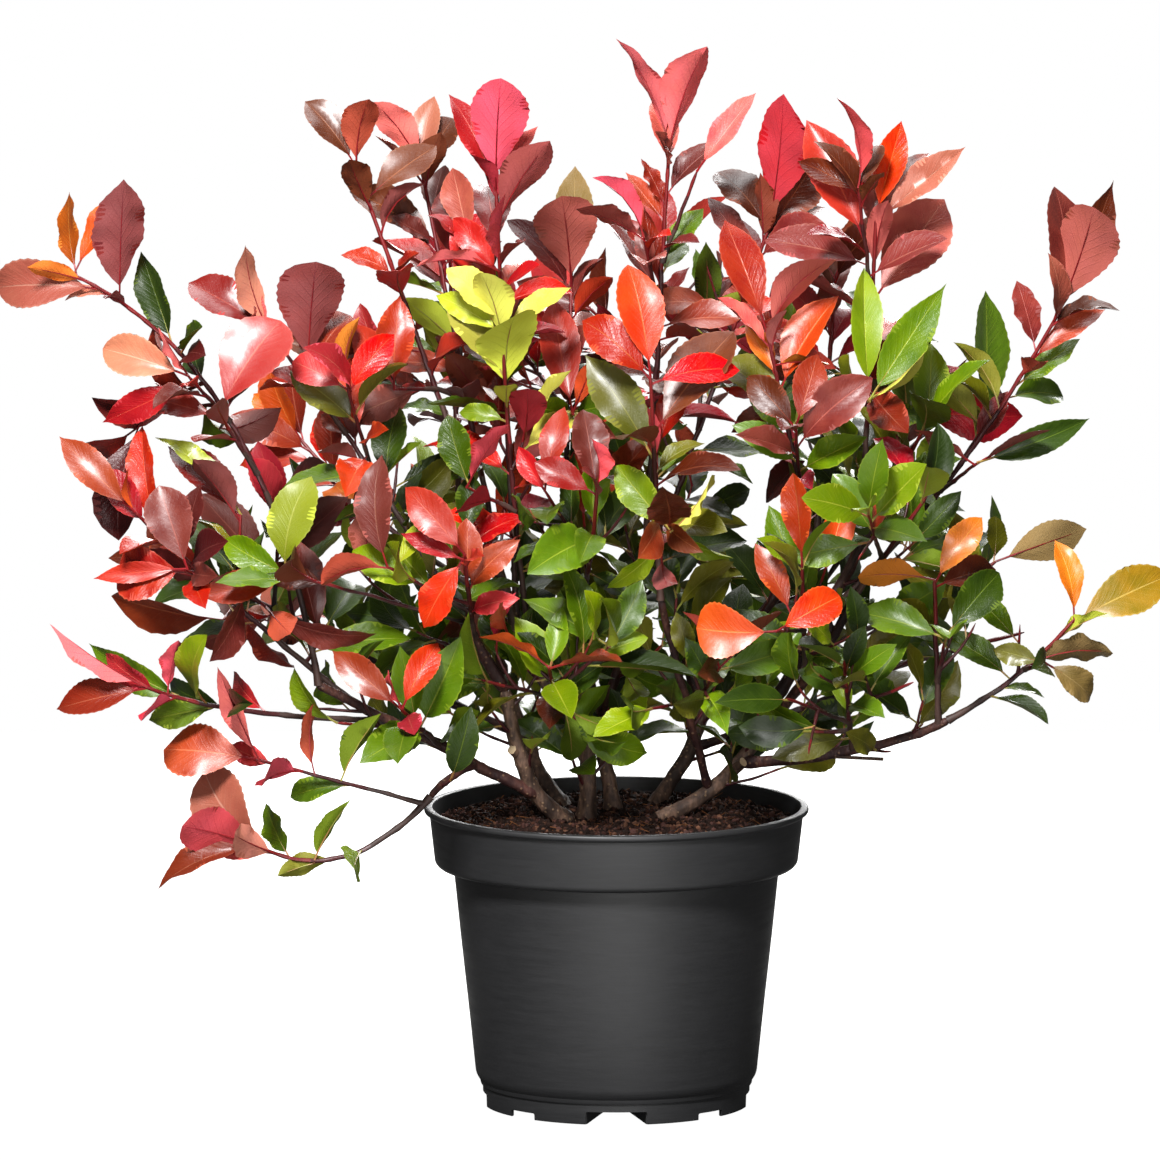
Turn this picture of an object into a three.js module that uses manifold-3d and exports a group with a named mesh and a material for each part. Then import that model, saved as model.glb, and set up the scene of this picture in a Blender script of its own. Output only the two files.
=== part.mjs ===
// Red robin photinia, a young bush of several stems, standing in its round nursery pot.
// Millimetres, +Z up, -Y the front. The origin is the middle of the pot's underside, on the ground.
// Stems rise from the compost, boughs grow from the stems, and every mass of foliage grows from a
// bough: a leading shoot with side shoots, three-sided, and leaves fused on by a numbered rule.
import * as THREE from "three";
import { mergeVertices } from "three/addons/utils/BufferGeometryUtils.js";
import Module from "manifold-3d";

const wasm = await Module();
wasm.setup();

const clearance = 0.3; // between pieces that touch in life
const room = 0.7; // what a leaf or shoot keeps clear of its neighbours
const slightest = 0.05; // details finer than this are smoothed away
const weld = 1e-4; // corners closer than this are one corner
const pot = {
  height: 201,
  rimRadius: 128.5,
  lipHeight: 4,
  bevel: 1,
  collarHeight: 40,
  collarTop: 125,
  collarFoot: 121.5,
  collarRound: 3.5,
  waistRadius: 109,
  heelRadius: 94.3,
  heelHeight: 23,
  ringRadius: 89,
  ringHeight: 14,
  ringStep: 1.5,
  ringThickness: 5,
  wall: 2.2,
  floorUnderside: 9,
  floorThickness: 3,
  hubRadius: 30,
  segments: 32,
};
// Drain notches in the foot ring, four of each kind; first is the bearing of the first one.
const notches = [
  { first: 0, width: 41, height: 8.7 },
  { first: 45, width: 22, height: 4.6 },
];
const compost = { crown: 197, crownRadius: 78, edge: 189 };
const ground = compost.crown + clearance; // the stems' flat cut
const flare = { share: 0.32, fade: 8 }; // how much wider a stem's foot is, and how soon that fades
const shootRadius = { lead: 2.6, side: 2, tip: 1.4 };
const facets = {
  stem: { steps: 6, sides: 8 },
  bough: { steps: 5, sides: 6 },
  lead: { steps: 5, sides: 3 },
  side: { steps: 3, sides: 3 },
};
const detour = { reaches: [7, 14, 22, 30], ways: 6 }; // how far and which ways a shoot may bow aside
const leafRule = {
  length: 72, // stalk and blade together
  shortest: 0.8,
  longest: 1.15,
  widthShare: 0.43,
  widest: 0.6, // where along the leaf it is widest
  stalkShare: 0.12,
  fold: 0.05, // how far the margins rise above the midrib, as a share of the length
  curl: 0.09, // how far the tip bends back
  sink: 1, // how far the stalk's foot lies past the shoot's middle
  tuft: 3, // leaves that sit close together at a shoot's tip
  tipGap: 1,
  tuftGap: 3,
  gap: 18,
  bareShare: 0.14, // the foot of a shoot has no leaves
  turn: 137.5, // from each leaf to the next one down
  turnPlay: 16,
  firstTilt: 22, // of the top leaf away from its shoot
  tiltStep: 8,
  tiltPlay: 9,
  widestTilt: 68,
  lift: 0.22, // how strongly the top leaf turns upwards
  droop: 0.045, // how much of that each leaf further down loses
  lowest: -0.22, // no leaf points down more steeply than this
  turnOut: 0.45, // how far blades are turned out to the front or the back
  facePlay: 0.4, // how freely they choose between the two
  aimedOut: 1.1, // the same for a leaf with an aim: it shows its upper side if it leans away
};

const tints = {
  rose: "#d2546b",
  crimson: "#c0283f",
  scarlet: "#cf2a1d",
  orange: "#e0661a",
  bronze: "#7a3328",
  maroon: "#7d3540",
  lime: "#a9b92c",
  olive: "#7b7a24",
  green: "#2f6b1e",
};

// Stems start on the compost at (x, y). Boughs start on another limb, at a share of its length.
// lean: how far the limb runs outwards before it climbs. sag: how far its middle hangs.
const limbs = [
  { name: "stem_left", root: [-36, -35], to: [-74, -60, 288], radii: [5.8, 4.4], lean: 0.25 },
  { name: "stem_centre", root: [-20, -28], to: [-19, -28, 250], radii: [5.6, 5.2] },
  { name: "stem_back", root: [-2, 12], to: [-16, 22, 269], radii: [5, 4.2] },
  { name: "stem_right", root: [34, -25], to: [106, 0, 272], radii: [5.2, 4.3], lean: 0.2 },
  { name: "stem_rear_right", root: [28, 40], to: [70, 75, 280], radii: [5, 4], lean: 0.1 },
  { name: "stem_rear_left", root: [-38, 34], to: [-75, 70, 275], radii: [5, 4], lean: 0.1 },
  { name: "bough_low_left", on: ["stem_left", 0.3], to: [-197, -115, 300], radii: [4.1, 2.9] },
  { name: "bough_left_up", on: ["stem_left", 1], to: [-118, -90, 367], radii: [4.2, 3.1] },
  { name: "bough_centre_left", on: ["stem_centre", 1], to: [-84, -45, 387], radii: [4.9, 3.4], lean: 0.15 },
  { name: "bough_centre_up", on: ["stem_back", 1], to: [-34, 5, 406], radii: [4, 3] },
  { name: "bough_centre_right", on: ["stem_back", 0.75], to: [19, 25, 363], radii: [3.5, 2.8], lean: 0.1 },
  { name: "bough_red", on: ["stem_right", 0.3], to: [29, -100, 355], radii: [2.9, 2.4] },
  { name: "bough_right_up", on: ["stem_right", 1], to: [173, 20, 399], radii: [4.2, 3.2], lean: 0.05 },
  { name: "bough_right_mid", on: ["stem_right", 0.8], to: [156, -70, 350], radii: [3.5, 2.8], lean: 0.1 },
  { name: "bough_right_low", on: ["stem_right", 0.55], to: [220, -60, 268], radii: [3.8, 2.7], lean: 0.2 },
  { name: "bough_hanging", on: ["bough_low_left", 0.28], to: [-123, -118, 226], radii: [2.6, 2.3], sag: -6 },
  { name: "bough_rear_right", on: ["stem_rear_right", 1], to: [135, 125, 365], radii: [3.9, 3] },
  { name: "bough_rear_mid", on: ["stem_rear_right", 0.7], to: [25, 140, 395], radii: [3.5, 2.8], lean: 0.15 },
  { name: "bough_rear_left", on: ["stem_rear_left", 1], to: [-105, 125, 370], radii: [3.9, 3] },
  {
    name: "bough_rear_low_left", on: ["stem_rear_left", 0.6],
    to: [-175, 85, 295], radii: [3.3, 2.7], lean: 0.1,
  },
  {
    name: "bough_rear_low_right", on: ["stem_rear_right", 0.45],
    to: [185, 95, 280], radii: [3.3, 2.7], lean: 0.1,
  },
];

// Each mass: the limb it grows from and where, then its shoots. The first leads; the others leave it
// at a share of its length. turn: the bearing of a shoot's top leaf, 0 left, 90 front, 180 right.
// aims: the top leaves of a shoot one by one, where they have their own place: where it points, seen
// from the front, as degrees clockwise from straight up, how far it leans away (a minus sign: how far
// it leans forward), its length as seen there and its width. A null is a leaf that the shoot has shed.
const masses = [
  {
    name: "leaves_left_outer", from: ["bough_low_left", 1], tint: "rose",
    shoots: [
      {
        to: [-358, -140, 577], lean: -0.28, leaves: 11, turn: 85,
        aims: [
          [27, 0.05, 69, 20], [-8, 0.55, 54, 22], null, [-95, 0.2, 74, 33], [2, -0.3, 86, 36], null, null,
          [-18, 0.2, 64, 24],
        ],
      },
      {
        at: 0.5, to: [-283, -150, 512], leaves: 6, turn: 355,
        aims: [[-74, 0.3, 61, 26], [-32, -0.2, 41, 14], [-120, 0.2, 68, 20]],
      },
      { at: 0.38, to: [-262, -146, 486], leaves: 4, turn: 355, aims: [[28, 0.25, 72, 43], [-78, 0.3, 56, 24]] },
    ],
  },
  {
    name: "leaves_left_low", from: ["bough_low_left", 0.84], tint: "maroon",
    shoots: [
      {
        to: [-318, -165, 424], leaves: 9, turn: 170,
        aims: [[-46, 0.2, 70, 22], [-14, -0.2, 32, 15], null, [-5, 0.25, 72, 19]],
      },
      {
        at: 0.6, to: [-284, -185, 388], leaves: 4, turn: 20,
        aims: [[-92, 0.1, 60, 14], [-100, 0.3, 48, 38], [-19, 0.2, 58, 31]],
      },
      { at: 0.5, to: [-248, -130, 418], leaves: 6, turn: 120, aims: [[-44, 0.2, 76, 17], [-45, 0.4, 66, 28]] },
    ],
  },
  {
    name: "leaves_low_sprig", from: ["bough_low_left", 0.68], tint: "rose",
    shoots: [
      {
        to: [-311, -160, 306], lean: 0.2, leaves: 8, turn: 170,
        aims: [[-61, -0.2, 75, 18], [-108, 0.2, 66, 26], null, [8, -0.2, 38, 20], [-67, 0.5, 75, 22]],
      },
    ],
  },
  {
    name: "leaves_hanging", from: ["bough_hanging", 1], tint: "rose",
    shoots: [
      {
        to: [-238, -135, 196], sag: 48, leaves: 7, turn: 350,
        aims: [
          [-107, 0.1, 75, 22], [-71, -0.3, 57, 36], [-46, 0.2, 66, 40], [-28, 0.3, 38, 22],
          [27, -0.2, 50, 17], [-104, -0.2, 42, 16],
        ],
      },
      {
        at: 0.04, to: [-240, -140, 255], leaves: 6, turn: 200,
        aims: [[-81, 0.2, 62, 36], [-22, -0.2, 72, 15], null, null, [-4, -0.2, 52, 18], [24, -0.3, 55, 20]],
      },
    ],
  },
  {
    name: "leaves_left_crown", from: ["bough_left_up", 1], tint: "maroon",
    shoots: [
      { to: [-205, -62, 502], leaves: 10, turn: 270, aims: [[5, -0.3, 80, 46], [35, 0.3, 50, 32]] },
      {
        at: 0.7, to: [-232, -88, 535], leaves: 4, turn: 0,
        aims: [[-61, 0.3, 60, 30], [-14, -0.3, 66, 28]],
      },
      {
        at: 0.5, to: [-178, -115, 500], leaves: 7, turn: 100,
        aims: [[4, -0.2, 48, 18], [-65, 0.3, 42, 22], [35, 0.2, 50, 20]],
      },
    ],
  },
  {
    name: "leaves_left_front", from: ["bough_left_up", 0.45], tint: "scarlet",
    shoots: [
      {
        to: [-100, -165, 395], lean: 0.1, leaves: 8, turn: 30,
        aims: [[-43, 0.2, 61, 26], [-146, 0.15, 56, 24], [-70, 0.2, 46, 13]],
      },
      {
        at: 0.4, to: [-152, -150, 385], leaves: 6, turn: 60,
        aims: [[-10, 0.2, 74, 26], [-98, -0.45, 50, 22], [40, 0.2, 44, 18]],
      },
      {
        at: 0.25, to: [-219, -162, 382], leaves: 4, turn: 60,
        aims: [[8, 0.15, 66, 34], [-66, 0.3, 50, 20]],
      },
    ],
  },
  {
    name: "leaves_top_left", from: ["bough_centre_left", 1], tint: "bronze",
    shoots: [
      {
        to: [-174, -20, 636], leaves: 12, turn: 200,
        aims: [
          [-38, 0.2, 53, 24], [9, -0.3, 52, 25], null, [48, 0.4, 55, 28], null, null, [-66, 0.2, 38, 16],
        ],
      },
      { at: 0.4, to: [-148, -75, 492], leaves: 6, turn: 100, aims: [[4, 0.1, 62, 26], [-34, 0.7, 50, 22]] },
    ],
  },
  {
    name: "leaves_top_rose", from: ["bough_centre_left", 0.82], tint: "rose",
    shoots: [
      {
        to: [-130, 25, 628], leaves: 12, turn: 20,
        aims: [
          [-29, -0.3, 58, 24], [4, 0.4, 50, 20], [28, 0.3, 44, 26], null, null, [-56, 0.3, 76, 25],
        ],
      },
      { at: 0.5, to: [-110, 70, 560], leaves: 7, turn: 300 },
    ],
  },
  {
    name: "leaves_top_crimson", from: ["bough_centre_left", 0.66], tint: "crimson",
    shoots: [
      {
        to: [-80, -40, 622], leaves: 13, turn: 90,
        aims: [[0, -0.35, 80, 37], [-23, 0.3, 72, 24], [25, 0.35, 54, 15]],
      },
      { at: 0.66, to: [-98, -45, 586], leaves: 4, turn: 20, aims: [[-10, 0.3, 50, 26]] },
      {
        at: 0.68, to: [-78, -75, 574], leaves: 4, turn: 95,
        aims: [[0, -0.4, 50, 36], [-80, -0.2, 56, 15], [-41, 0.3, 50, 20]],
      },
    ],
  },
  {
    name: "leaves_lime", from: ["bough_centre_left", 0.5], tint: "lime",
    shoots: [
      {
        to: [-76, -105, 541], lean: 0.12, leaves: 12, turn: 90,
        aims: [
          [-40, 0.12, 52, 28], [56, 0.3, 52, 18], [-62, 0.4, 52, 18], [27, 0.5, 40, 13], [-1, -0.5, 60, 44],
          [-78, 0.3, 34, 13],
        ],
      },
      { at: 0.5, to: [-100, -95, 430], leaves: 6, turn: 40, aims: [[31, -0.3, 54, 24], [-20, 0.2, 50, 24]] },
    ],
  },
  {
    name: "leaves_dusky", from: ["bough_centre_up", 1], tint: "maroon",
    shoots: [
      { to: [-30, 40, 546], leaves: 11, turn: 90, aims: [[-3, -0.35, 66, 41], [2, 0.5, 82, 28]] },
      {
        at: 0.45, to: [-29, -62, 474], lean: 0.1, leaves: 6, turn: 150,
        aims: [[-13, 0.5, 76, 26], [18, -0.3, 42, 14]],
      },
      { at: 0.4, to: [-70, 60, 510], leaves: 6, turn: 320 },
    ],
  },
  {
    name: "leaves_spire", from: ["bough_centre_right", 1], tint: "rose",
    shoots: [
      {
        to: [35, 0, 645], leaves: 13, turn: 335,
        aims: [
          [-24, -0.2, 86, 20], [15, -0.3, 80, 33], null, null, [-22, 0.3, 36, 13], null, [35, 0.2, 44, 18],
          [-15, 0.2, 54, 15],
        ],
      },
      { at: 0.72, to: [54, -6, 630], leaves: 1, turn: 170, aims: [[41, 0.2, 66, 19]] },
      { at: 0.6, to: [18, -25, 588], leaves: 4, turn: 40, aims: [[-36, -0.2, 56, 18], [-58, -0.3, 50, 36]] },
    ],
  },
  {
    name: "leaves_scarlet", from: ["bough_red", 1], tint: "scarlet",
    shoots: [
      {
        to: [22, -135, 510], leaves: 11, turn: 60,
        aims: [
          [-7, 0.2, 75, 31], [-50, 0.25, 62, 27], [76, 0.3, 60, 22], null, [36, 0.3, 86, 42],
          [-31, 0.2, 82, 30],
        ],
      },
      { at: 0.4, to: [36, -150, 407], leaves: 6, turn: 150, aims: [[38, -0.3, 48, 30], [-40, 0.2, 56, 24]] },
    ],
  },
  {
    name: "leaves_centre_front", from: ["bough_centre_up", 0.5], tint: "crimson",
    shoots: [
      {
        to: [-13, -130, 434], lean: 0.2, leaves: 9, turn: 80,
        aims: [[0, -0.35, 34, 26], [-12, 0.3, 56, 24], [-60, 0.1, 46, 20]],
      },
      { at: 0.5, to: [-48, -110, 430], leaves: 6, turn: 20, aims: [[14, 0.3, 57, 20], [-35, 0.2, 36, 14]] },
      { at: 0.25, to: [5, -45, 300], leaves: 5, turn: 130 },
    ],
  },
  {
    name: "leaves_top_middle", from: ["bough_centre_right", 0.6], tint: "maroon",
    shoots: [
      {
        to: [102, 30, 588], leaves: 13, turn: 95,
        aims: [[10, -0.35, 96, 40], [-38, 0.3, 52, 34], [36, 0.35, 50, 34]],
      },
      { at: 0.5, to: [60, 60, 520], leaves: 7, turn: 300 },
    ],
  },
  {
    name: "leaves_rose_right", from: ["bough_right_mid", 0.75], tint: "orange",
    shoots: [
      {
        to: [99, -75, 532], leaves: 12, turn: 50,
        aims: [
          [-23, 0.3, 78, 28], [34, -0.3, 72, 36], null, [80, -0.4, 36, 18], [26, 0.25, 72, 32],
          [-48, 0.3, 60, 30],
        ],
      },
      { at: 0.5, to: [118, -115, 473], leaves: 6, turn: 160, aims: [[20, 0.3, 50, 22], [-40, 0.3, 48, 22]] },
    ],
  },
  {
    name: "leaves_top_right", from: ["bough_right_up", 0.85], tint: "maroon",
    shoots: [
      {
        to: [172, -30, 602], leaves: 12, turn: 195,
        aims: [
          [17, 0.2, 66, 21], [52, 0.05, 76, 22], [36, 0.7, 60, 22], null, [12, -0.4, 60, 17],
          [38, 0.3, 82, 42],
        ],
      },
      {
        at: 0.72, to: [160, -52, 625], leaves: 6, turn: 30,
        aims: [[-7, -0.3, 64, 30], [24, 0.4, 34, 17], [-60, 0.5, 46, 15], null, [-24, 0.3, 88, 33]],
      },
      {
        at: 0.5, to: [167, -80, 484], leaves: 6, turn: 100,
        aims: [[-28, -0.5, 38, 28], [33, 0.3, 90, 28], [50, -0.5, 48, 17], [-5, 0.3, 86, 23]],
      },
    ],
  },
  {
    name: "leaves_right_green", from: ["bough_right_up", 0.65], tint: "green",
    shoots: [
      { to: [205, -35, 462], leaves: 9, turn: 160 },
      { at: 0.5, to: [195, 45, 460], leaves: 6, turn: 240 },
    ],
  },
  {
    name: "leaves_right_spray", from: ["bough_right_up", 0.45], tint: "maroon",
    shoots: [
      {
        to: [296, -20, 540], lean: 0.08, leaves: 12, turn: 90,
        aims: [
          [2, 0.2, 81, 38], [17, -0.35, 80, 40], [28, 0.5, 94, 26], null, [52, 0.2, 64, 16],
          [55, 0.2, 54, 19], [-28, -0.2, 58, 16],
        ],
      },
      { at: 0.55, to: [246, 8, 458], leaves: 5, turn: 0, aims: [[1, 0.4, 86, 41], [-40, -0.2, 50, 20]] },
      {
        at: 0.45, to: [240, -65, 442], leaves: 5, turn: 180,
        aims: [[74, 0.2, 82, 20], [56, -0.5, 58, 26], [-55, -0.3, 50, 20]],
      },
    ],
  },
  {
    name: "leaves_right_middle", from: ["bough_right_mid", 1], tint: "green",
    shoots: [
      { to: [205, -105, 425], leaves: 9, turn: 160 },
      { at: 0.4, to: [165, -150, 420], leaves: 6, turn: 80 },
    ],
  },
  {
    name: "leaves_orange_front", from: ["bough_right_mid", 0.45], tint: "orange",
    shoots: [
      {
        to: [122, -140, 385], lean: 0.1, leaves: 8, turn: 90,
        aims: [[-3, 0.2, 63, 20], [30, -0.2, 44, 20]],
      },
      { at: 0.5, to: [104, -175, 345], leaves: 5, turn: 60, aims: [[-95, 0.2, 52, 36], [60, 0.3, 50, 24]] },
    ],
  },
  {
    name: "leaves_orange_right", from: ["bough_right_low", 0.93], tint: "orange",
    shoots: [
      {
        to: [210, -105, 370], leaves: 6, turn: 30,
        aims: [[-80, -0.2, 50, 32], [37, 0.2, 56, 21], [74, 0.7, 42, 22]],
      },
      { at: 0.3, to: [218, -112, 333], leaves: 4, turn: 150, aims: [[38, 0.3, 55, 26], [-72, 0.3, 60, 24]] },
    ],
  },
  {
    name: "leaves_far_right", from: ["bough_right_low", 1], tint: "olive",
    shoots: [
      {
        to: [304, -70, 338], lean: 0.1, leaves: 7, turn: 40,
        aims: [
          [-13, 0.2, 55, 18], [68, 0.3, 76, 32], null, [60, -0.2, 46, 12], [82, -0.2, 58, 28],
          [-53, 0.2, 58, 20],
        ],
      },
      { at: 0.55, to: [284, -95, 312], leaves: 4, turn: 150, aims: [[124, 0.3, 42, 20], [-70, 0.2, 34, 16]] },
    ],
  },
  {
    name: "leaves_right_reach", from: ["bough_right_up", 0.28], tint: "olive",
    shoots: [
      {
        to: [255, 25, 363], lean: 0.1, leaves: 8, turn: 175,
        aims: [[71, -0.3, 66, 26], [8, 0.4, 30, 18]],
      },
      { at: 0.6, to: [228, 60, 335], leaves: 5, turn: 220 },
    ],
  },
  {
    name: "leaves_low_left", from: ["bough_low_left", 0.45], tint: "scarlet",
    shoots: [
      {
        to: [-143, -150, 290], leaves: 5, turn: 10,
        aims: [[-48, 0.2, 60, 23], [26, 0.25, 50, 20], [-22, -0.6, 30, 12]],
      },
      { at: 0.4, to: [-186, -135, 278], leaves: 3, turn: 200 },
    ],
  },
  {
    name: "leaves_low_centre", from: ["bough_centre_left", 0.22], tint: "green",
    shoots: [
      {
        to: [-45, -130, 315], lean: 0.1, leaves: 7, turn: 60,
        aims: [[-60, -0.2, 50, 24], [78, -0.35, 50, 20], [18, 0.3, 42, 16]],
      },
      {
        at: 0.5, to: [-4, -112, 326], leaves: 5, turn: 120,
        aims: [[-64, 0.2, 66, 24], [34, 0.1, 50, 22]],
      },
      { at: 0.3, to: [-92, -88, 300], leaves: 5, turn: 200 },
      { at: 0.3, to: [-25, -72, 268], leaves: 5, turn: 100 },
    ],
  },
  {
    name: "leaves_low_right", from: ["bough_red", 0.4], tint: "green",
    shoots: [
      {
        to: [68, -125, 314], leaves: 7, turn: 120,
        aims: [[-28, -0.2, 46, 15], [42, -0.3, 58, 36], [80, 0.3, 56, 22]],
      },
      { at: 0.3, to: [22, -120, 285], leaves: 4, turn: 70 },
      { at: 0.25, to: [92, -95, 285], leaves: 5, turn: 150 },
      { at: 0.6, to: [48, -60, 330], leaves: 5, turn: 250 },
    ],
  },
  {
    name: "leaves_low_right_green", from: ["bough_right_low", 0.45], tint: "green",
    shoots: [
      { to: [150, -125, 318], lean: 0.05, leaves: 8, turn: 120 },
      { at: 0.5, to: [196, -115, 302], leaves: 4, turn: 180 },
      { at: 0.35, to: [112, -140, 295], leaves: 4, turn: 60 },
      { at: 0.25, to: [128, -70, 262], leaves: 5, turn: 300 },
    ],
  },
  {
    name: "leaves_rim_right", from: ["bough_rear_low_right", 0.55], tint: "olive",
    shoots: [{ to: [158, 42, 226], leaves: 6, turn: 170 }],
  },
  {
    name: "leaves_rear_right_high", from: ["bough_rear_right", 1], tint: "bronze",
    shoots: [
      { to: [148, 150, 540], leaves: 12, turn: 220 },
      { at: 0.5, to: [198, 138, 448], leaves: 8, turn: 200 },
      { at: 0.45, to: [110, 205, 490], leaves: 8, turn: 270 },
    ],
  },
  {
    name: "leaves_rear_right_wide", from: ["bough_rear_right", 0.65], tint: "maroon",
    shoots: [
      { to: [232, 175, 398], lean: 0.1, leaves: 12, turn: 220 },
      { at: 0.5, to: [165, 235, 390], leaves: 8, turn: 270 },
      { at: 0.3, to: [90, 130, 262], leaves: 6, turn: 80 },
    ],
  },
  {
    name: "leaves_rear_middle_high", from: ["bough_rear_mid", 1], tint: "crimson",
    shoots: [
      { to: [30, 165, 548], leaves: 12, turn: 270 },
      { at: 0.5, to: [-25, 215, 515], leaves: 8, turn: 300 },
      { at: 0.45, to: [70, 225, 500], leaves: 8, turn: 240 },
    ],
  },
  {
    name: "leaves_rear_middle_low", from: ["bough_rear_mid", 0.55], tint: "scarlet",
    shoots: [
      { to: [20, 262, 400], lean: 0.15, leaves: 12, turn: 270 },
      { at: 0.5, to: [75, 235, 320], leaves: 8, turn: 230 },
      { at: 0.25, to: [5, 130, 300], leaves: 6, turn: 60 },
      { at: 0.3, to: [48, 110, 290], leaves: 5, turn: 120 },
    ],
  },
  {
    name: "leaves_rear_left_high", from: ["bough_rear_left", 1], tint: "rose",
    shoots: [
      { to: [-112, 150, 548], leaves: 12, turn: 300 },
      { at: 0.5, to: [-178, 120, 486], leaves: 8, turn: 340 },
      { at: 0.45, to: [-80, 215, 490], leaves: 8, turn: 270 },
    ],
  },
  {
    name: "leaves_rear_left_wide", from: ["bough_rear_left", 0.6], tint: "orange",
    shoots: [
      { to: [-215, 180, 425], lean: 0.1, leaves: 12, turn: 320 },
      { at: 0.5, to: [-130, 245, 370], leaves: 8, turn: 280 },
      { at: 0.3, to: [-55, 125, 300], leaves: 6, turn: 100 },
    ],
  },
  {
    name: "leaves_rear_left_low", from: ["bough_rear_low_left", 1], tint: "bronze",
    shoots: [
      { to: [-285, 100, 345], leaves: 11, turn: 340 },
      { at: 0.5, to: [-225, 30, 390], leaves: 7, turn: 20 },
      { at: 0.5, to: [-235, 165, 300], leaves: 7, turn: 300 },
      { at: 0.12, to: [-125, 30, 300], leaves: 6, turn: 60 },
    ],
  },
  {
    name: "leaves_rear_right_low", from: ["bough_rear_low_right", 1], tint: "green",
    shoots: [
      { to: [275, 120, 300], leaves: 11, turn: 200 },
      { at: 0.5, to: [225, 185, 290], leaves: 7, turn: 250 },
    ],
  },
];

const radians = THREE.MathUtils.degToRad;
const lerp = THREE.MathUtils.lerp;
const back = new THREE.Vector3(0, 1, 0);

// A repeatable number from 0 to 1 for a set of whole numbers.
function chance(...keys) {
  let h = 2166136261;
  for (const key of keys) {
    h = Math.imul(h ^ key, 16777619);
    h ^= h >>> 15;
    h = Math.imul(h, 2246822519);
    h ^= h >>> 13;
  }
  h = Math.imul(h, 3266489917);
  return ((h ^ (h >>> 16)) >>> 0) / 2 ** 32;
}

function solidOf(geometry) {
  const bare = new THREE.BufferGeometry();
  bare.setAttribute("position", geometry.getAttribute("position"));
  bare.setIndex(geometry.index);
  const merged = mergeVertices(bare, weld);
  return new wasm.Manifold(
    new wasm.Mesh({
      numProp: 3,
      vertProperties: Float32Array.from(merged.attributes.position.array),
      triVerts: Uint32Array.from(merged.index.array),
    }),
  );
}

function geometryOf(solid) {
  const mesh = solid.getMesh();
  const geometry = new THREE.BufferGeometry();
  geometry.setAttribute("position", new THREE.BufferAttribute(mesh.vertProperties, 3));
  geometry.setIndex(new THREE.BufferAttribute(mesh.triVerts, 1));
  return geometry;
}

const largest = (solid) => solid.decompose().sort((a, b) => b.volume() - a.volume())[0];

// The path of a limb or shoot: it runs outwards first, then climbs, and may hang in the middle.
function sweep(from, to, { lean = 0, sag = 0, bow = [0, 0] }) {
  const control = new THREE.Vector3(
    lerp(from.x, to.x, 0.5 + lean) + bow[0],
    lerp(from.y, to.y, 0.5 + lean) + bow[1],
    lerp(from.z, to.z, 0.5 - lean) - sag,
  );
  return new THREE.QuadraticBezierCurve3(from, control, to);
}

// Limbs and shoots are tapering tubes. spare swells the tube all round; flatFoot cuts its lower end
// level with the compost.
function tube(curve, radiusAt, { steps, sides, spare = 0, flatFoot = false }) {
  const positions = [];
  const faces = [];
  let across = null;
  for (let i = 0; i <= steps; i++) {
    const centre = curve.getPoint(i / steps);
    const along = curve.getTangent(i / steps);
    if (i === 0 && !flatFoot) centre.addScaledVector(along, -spare);
    if (i === steps) centre.addScaledVector(along, spare);
    across ??= back.clone().cross(along);
    across.addScaledVector(along, -across.dot(along)).normalize();
    const side = along.clone().cross(across);
    const radius = radiusAt(i / steps) + spare / Math.cos(Math.PI / sides);
    for (let k = 0; k < sides; k++) {
      const angle = (k / sides) * 2 * Math.PI;
      const point = centre.clone();
      point.addScaledVector(across, radius * Math.cos(angle));
      point.addScaledVector(side, radius * Math.sin(angle));
      if (i === 0 && flatFoot) point.addScaledVector(along, (ground - point.z) / along.z);
      positions.push(point.x, point.y, point.z);
    }
  }
  const last = steps * sides;
  for (let k = 0; k < sides; k++) {
    const next = (k + 1) % sides;
    for (let ring = 0; ring < last; ring += sides) {
      faces.push(ring + k, ring + next, ring + sides + next);
      faces.push(ring + k, ring + sides + next, ring + sides + k);
    }
    if (k >= 2) faces.push(0, k, k - 1, last, last + k - 1, last + k);
  }
  const geometry = new THREE.BufferGeometry();
  geometry.setAttribute("position", new THREE.Float32BufferAttribute(positions, 3));
  geometry.setIndex(faces);
  return solidOf(geometry);
}

function limbSolid(limb, spare = 0) {
  const length = limb.curve.getLength();
  const swell = (t) => (limb.root ? 1 + flare.share * Math.exp((-t * length) / flare.fade) : 1);
  const radiusAt = (t) => lerp(limb.radii[0], limb.radii[1], t) * swell(t);
  const grain = limb.root ? facets.stem : facets.bough;
  return tube(limb.curve, radiusAt, { ...grain, spare, flatFoot: Boolean(limb.root) });
}

function twigSolid(shoot, spare = 0) {
  const foot = shoot.lead ? shootRadius.lead : shootRadius.side;
  const grain = shoot.lead ? facets.lead : facets.side;
  return tube(shoot.curve, (t) => lerp(foot, shootRadius.tip, t), { ...grain, spare });
}

// The direction at a bearing round a shoot: 0 is to its left, 90 to its front.
function roundShoot(along, degrees) {
  const left = along.clone().cross(back).normalize();
  const front = along.clone().cross(left);
  const angle = radians(degrees);
  return left.multiplyScalar(Math.cos(angle)).addScaledVector(front, Math.sin(angle));
}

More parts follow.
